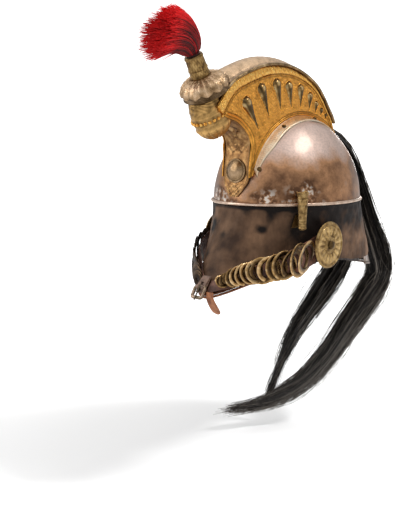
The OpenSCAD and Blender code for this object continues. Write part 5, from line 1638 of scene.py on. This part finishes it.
class HELMET_OT_tuft(bpy.types.Operator):
    """Red tuft: bristles that fan out from the stem and bow forward together"""

    bl_idname = "helmet.tuft"
    bl_label = "Tuft"

    def execute(self, context):
        finishes = finishes_of(context)
        count = context.scene.helmet_sizes.bristles
        rng = np.random.default_rng(7)
        foot = CAP_HEIGHT + SEAT + TUBE_LENGTH + 2 * SEAT
        start = CAP_FOOT + LEAN * (foot + 1)
        bend = start + LEAN * TUFT_LENGTH * 0.6
        tip = bend + [TUFT_LENGTH * 0.66, -TUFT_LENGTH * 0.15]

        # Roots in a sunflower spiral: radius by the root of the share, and the golden angle
        bundle = TUBE_BORE - 0.9
        i = np.arange(count)
        r = bundle * np.sqrt((i + 0.5) / count)
        a = i * math.radians(137.508)
        x, y = r * np.cos(a), r * np.sin(a)
        length = 0.81 + 0.17 * y / bundle + 0.1 * rng.uniform(-1, 0.6, count)
        t = np.linspace(0, 1, 10)[None, :] ** 1.3 * length[:, None]
        fan = 1 + 3.8 * t**0.55
        curl = rng.normal(0, 1, (count, 2, 1)) * t[:, None] ** 1.5 * 2.2
        x = x[:, None] * mix(1, fan, 0.8) + curl[:, 0]
        y = y[:, None] * fan + curl[:, 1]

        # The bundle's middle is a quadratic Bezier curve from start, drawn by bend, to tip
        k = t[..., None]
        middle = (1 - k) ** 2 * start + 2 * k * (1 - k) * bend + k**2 * tip
        along = unit(2 * (1 - k) * (bend - start) + 2 * k * (tip - bend))
        flat = middle + np.stack([along[..., 1], -along[..., 0]], -1) * y[..., None]
        bristles = strands(at_x(x - TUFT_SWAY * t**2, flat), np.full(t.shape, 0.34) * (1 - 0.4 * t))
        # Painted shade and light: the bristles are darker towards their roots and in the bundle's middle,
        # and lighter on the bundle's upper side. The random part is partly their own colour and partly
        # painted highlight. The pad at their root takes the darkest tone, as painted shade.
        tone = 0.08 + 0.75 * smooth((t - 0.4) * 1.9) + 0.55 * smooth(-y / 20) * smooth(t * 4)
        tone = tone + rng.normal(0, 0.26, (count, 1)) + 0.12 * (r / bundle)[:, None]
        pad, _ = revolve([[0.01, 0], [TUBE_BORE - 0.1, 0], [TUBE_BORE - 0.1, 1.8], [0.01, 2.4]],
                         lean_frame(CAP_FOOT + LEAN * foot), 40)
        add_piece("tuft_red_bristles", join([bristles, pad]), "tuft", finishes["bristle"],
                  ["tuft_bristles"], np.concatenate([np.repeat(tone.ravel(), 3), np.zeros(len(pad[0]))]))
        return {"FINISHED"}


class HELMET_OT_lining(bpy.types.Operator):
    """Leather sweatband and the tongues that rise to the crown"""

    bl_idname = "helmet.lining"
    bl_label = "Lining"

    def wall(self, a, z, out):
        """A point of the band's wall: an ellipse whose width narrows downwards with the form."""
        width = mix(COVER_WIDTH, LOW_WIDTH, np.abs(-z / SIDE_DROP) ** 0.7) + BAND_INNER - 0.5 + out
        length = LINING_REACH + out
        a = np.radians(a)
        return np.stack(np.broadcast_arrays(width * np.sin(a), -length * np.cos(a), z), -1)

    def sweatband(self, finishes):
        """A band under the rim, sewn near both edges."""
        a = (np.arange(180) * 2.0)[:, None]
        z = np.linspace(-2, -36, 24)[None, :]
        edge = np.minimum(z + 36, -2 - z)
        seam = 0.25 * hump(edge, 3, 0.5) * (np.sin(np.radians(a) * 90) > -0.3)
        outer = self.wall(a, z, 0.0)
        inner = self.wall(a, z, -LINING_WALL - seam + 0.3 * (1 - smooth(edge / 1.5)))
        tone = 0.5 + 0.05 * waves(inner, 20, 81) + seam
        add_piece("sweatband_leather", sheet_solid(outer, inner, loop=True), "helmet",
                  finishes["lining"], ["sweatband"],
                  np.concatenate([np.full(tone.shape, 0.4), tone[:, ::-1]], 1))

    def tongues(self, finishes):
        """Eight tongues that rise evenly and lean in by the height of an ellipse, with an opening
        between each two."""
        rise = np.linspace(0, 1, 40)[:, None]
        q = np.linspace(-1, 1, 13)[None, :]
        shrink = mix(0.995, 0.34, 1 - np.sqrt(1 - rise * rise * 0.94))
        half = 22.5 * 0.86 * mix(1, 0.75, rise) * (1 - 0.25 * smooth((rise - 0.85) * 6.6))
        solids = []
        for k in range(8):
            faces = [self.wall((k + 0.5) * 45 + q * half, -2.0, out) for out in (0.0, -LINING_WALL)]
            for p in faces:
                p[..., :2] *= shrink[..., None]
                p[..., 2] = -2 + SEAT + rise * 74
            solids.append(sheet_solid(*faces))
        add_piece("tongue_leather", join(solids), "helmet", finishes["lining"],
                  ["liner_tongues"])

    def execute(self, context):
        finishes = finishes_of(context)
        self.sweatband(finishes)
        self.tongues(finishes)
        return {"FINISHED"}


class HELMET_OT_fittings(bpy.types.Operator):
    """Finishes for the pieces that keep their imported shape"""

    bl_idname = "helmet.fittings"
    bl_label = "Fittings"

    def execute(self, context):
        finishes = finishes_of(context)
        wears = {
            "iron": ["skull_band", "crest_nuts", "post_nuts", "mane_pin"],
            "chain": ["crest_screws", "left_post", "right_post", "left_pivot_plate",
                      "right_pivot_plate", "plume_bracket", "mane_ferrule"],
            "buckle": ["buckle_prong"],
            "wood": ["tuft_stem"],
        }
        for finish, names in wears.items():
            for name in names:
                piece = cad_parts[name]
                piece.data.materials.clear()
                piece.data.materials.append(finishes[finish])
        return {"FINISHED"}


# The camera, solved from the photograph: its distance and height in metres, its bearing from the
# front, how far it looks down and aside of the origin in degrees, and its lens in millimetres
CAMERA_REACH, CAMERA_HEIGHT, CAMERA_BEARING = 1.25, 0.109, 37
CAMERA_DOWN, CAMERA_ASIDE, CAMERA_LENS = 8.65, 4.99, 65.35

# Brightness of the studio from straight below, 0, to straight above, 1
SKY = [(0.0, 0.9), (0.35, 0.94), (0.48, 0.8), (0.57, 0.5), (0.75, 0.62), (0.9, 0.96), (1.0, 1.05)]


class HELMET_OT_stage(bpy.types.Operator):
    """Pale floor, soft light and the camera at the photograph's angle"""

    bl_idname = "helmet.stage"
    bl_label = "Stage"

    def light(self, name, place, energy, size, colour=(1, 1, 1)):
        """A square lamp at a place, turned towards the middle of the rim."""
        lamp = bpy.data.lights.new(name, "AREA")
        lamp.energy, lamp.size, lamp.color = energy, size, colour
        thing = bpy.data.objects.new(name, lamp)
        bpy.context.scene.collection.objects.link(thing)
        thing.location = place
        thing.rotation_euler = (-Vector(place)).to_track_quat("-Z", "Y").to_euler()
        return thing

    def backdrop(self, z):
        """A pale floor that curves up all round into a pale wall, so that no edge shows. Its light
        on the helmet comes from the sky's colour instead, which has the same pale lower half."""
        radius, bend, height = 2.4, 1.2, 4.5
        a = np.radians(np.linspace(0, 90, 14))
        flat = np.linspace(0.0004, 2.1, 15)
        r = np.concatenate([flat, radius + bend * np.sin(a), [radius + bend]])
        up = z + np.concatenate([np.zeros(len(flat)), bend * (1 - np.cos(a)), [height]])
        k = np.linspace(0, 2 * math.pi, 72, endpoint=False)[:, None]
        points = np.stack(np.broadcast_arrays(r * np.cos(k), r * np.sin(k), up), -1).reshape(-1, 3)
        mesh = bpy.data.meshes.new("floor")
        faces = grid_faces(72, len(r), True, False)
        mesh.from_pydata(points.tolist(), [], faces.tolist())
        mesh.polygons.foreach_set("use_smooth", np.ones(len(faces), bool))
        glow = mesh.attributes.new("tone", "FLOAT", "POINT")
        glow.data.foreach_set("value", np.tile(mix(0.1, 0.8, smooth((r - 0.2) / 1.5)), 72))
        floor = bpy.data.objects.new("floor", mesh)
        bpy.context.scene.collection.objects.link(floor)
        floor.visible_glossy = floor.visible_diffuse = floor.visible_shadow = False
        f = Finish("pale_floor")
        f.set(Base_Color=(0.8, 0.8, 0.8, 1), Roughness=1.0, Emission_Color=(1, 1, 1, 1))
        f.link(f.tone, f.shader.inputs["Emission Strength"])
        mesh.materials.append(f.material)

    def sky(self, scene):
        """Soft studio light from all round: palest overhead and below, darker at eye level."""
        world = bpy.data.worlds.new("studio")
        scene.world = world
        world.use_nodes = True
        nodes, links = world.node_tree.nodes, world.node_tree.links
        split = nodes.new("ShaderNodeSeparateXYZ")
        links.new(nodes.new("ShaderNodeTexCoord").outputs["Generated"], split.inputs[0])
        reach = nodes.new("ShaderNodeMapRange")
        reach.inputs["From Min"].default_value = -1
        links.new(split.outputs["Z"], reach.inputs["Value"])
        ramp = nodes.new("ShaderNodeValToRGB")
        elements = ramp.color_ramp.elements
        for k, (place, bright) in enumerate(SKY):
            e = elements[k] if k < 2 else elements.new(place)
            e.position, e.color = place, (bright, bright, bright, 1)
        links.new(reach.outputs[0], ramp.inputs["Fac"])
        links.new(ramp.outputs["Color"], nodes["Background"].inputs["Color"])
        nodes["Background"].inputs["Strength"].default_value = 1.0

    def execute(self, context):
        scene = context.scene
        self.backdrop(scene.helmet_sizes.floor_drop)
        self.sky(scene)
        self.light("key_light", (0.62, 0.3, 1.1), 2.0, 0.22, (1, 0.98, 0.95))
        self.light("edge_light", (-1.2, 2.4, 0.25), 8, 0.5).visible_camera = False
        self.light("floor_light", (1.0, 0.55, 1.15), 22, 0.25).visible_glossy = False
        self.light("side_light", (-1.3, -1.5, 0.9), 14, 1.4)

        camera = bpy.data.cameras.new("camera")
        camera.lens, camera.sensor_width = CAMERA_LENS, 36
        camera.clip_start, camera.clip_end = 0.01, 30
        viewer = bpy.data.objects.new("camera", camera)
        scene.collection.objects.link(viewer)
        azimuth = math.radians(CAMERA_BEARING)
        viewer.location = (CAMERA_REACH * math.sin(azimuth), -CAMERA_REACH * math.cos(azimuth),
                           CAMERA_HEIGHT)
        viewer.rotation_euler = Euler((math.radians(90 - CAMERA_DOWN), 0,
                                       math.radians(CAMERA_BEARING + CAMERA_ASIDE)))
        scene.camera = viewer
        scene.view_settings.view_transform = "Standard"
        return {"FINISHED"}


OPERATORS = (
    HELMET_OT_skull, HELMET_OT_turban, HELMET_OT_crest, HELMET_OT_console,
    HELMET_OT_plume_holder, HELMET_OT_chin_strap, HELMET_OT_rings, HELMET_OT_buckle, HELMET_OT_mane,
    HELMET_OT_tuft, HELMET_OT_lining, HELMET_OT_fittings, HELMET_OT_stage)


class HELMET_PT_panel(bpy.types.Panel):
    """Lists the helmet's sizes, colours and pieces in the sidebar"""

    bl_idname = "HELMET_PT_panel"
    bl_label = "Helmet"
    bl_space_type = "VIEW_3D"
    bl_region_type = "UI"
    bl_category = "Helmet"

    def draw(self, context):
        """A field for each setting, then a button for each operator."""
        for group in (context.scene.helmet_sizes, context.scene.helmet_colours):
            for name in group.__annotations__:
                self.layout.prop(group, name)
        for operator in OPERATORS:
            self.layout.operator(operator.bl_idname)


CLASSES = (HelmetSizes, HelmetColours, *OPERATORS, HELMET_PT_panel)


def register():
    """Registers the classes and puts the two groups of settings on the scene."""
    for c in CLASSES:
        bpy.utils.register_class(c)
    bpy.types.Scene.helmet_sizes = bpy.props.PointerProperty(type=HelmetSizes)
    bpy.types.Scene.helmet_colours = bpy.props.PointerProperty(type=HelmetColours)


def unregister():
    """Takes the settings off the scene and the classes out again."""
    del bpy.types.Scene.helmet_sizes
    del bpy.types.Scene.helmet_colours
    for c in reversed(CLASSES):
        bpy.utils.unregister_class(c)


def main():
    register()
    for operator in OPERATORS:
        group, name = operator.bl_idname.split(".")
        getattr(getattr(bpy.ops, group), name)()


if __name__ == "__main__":
    main()
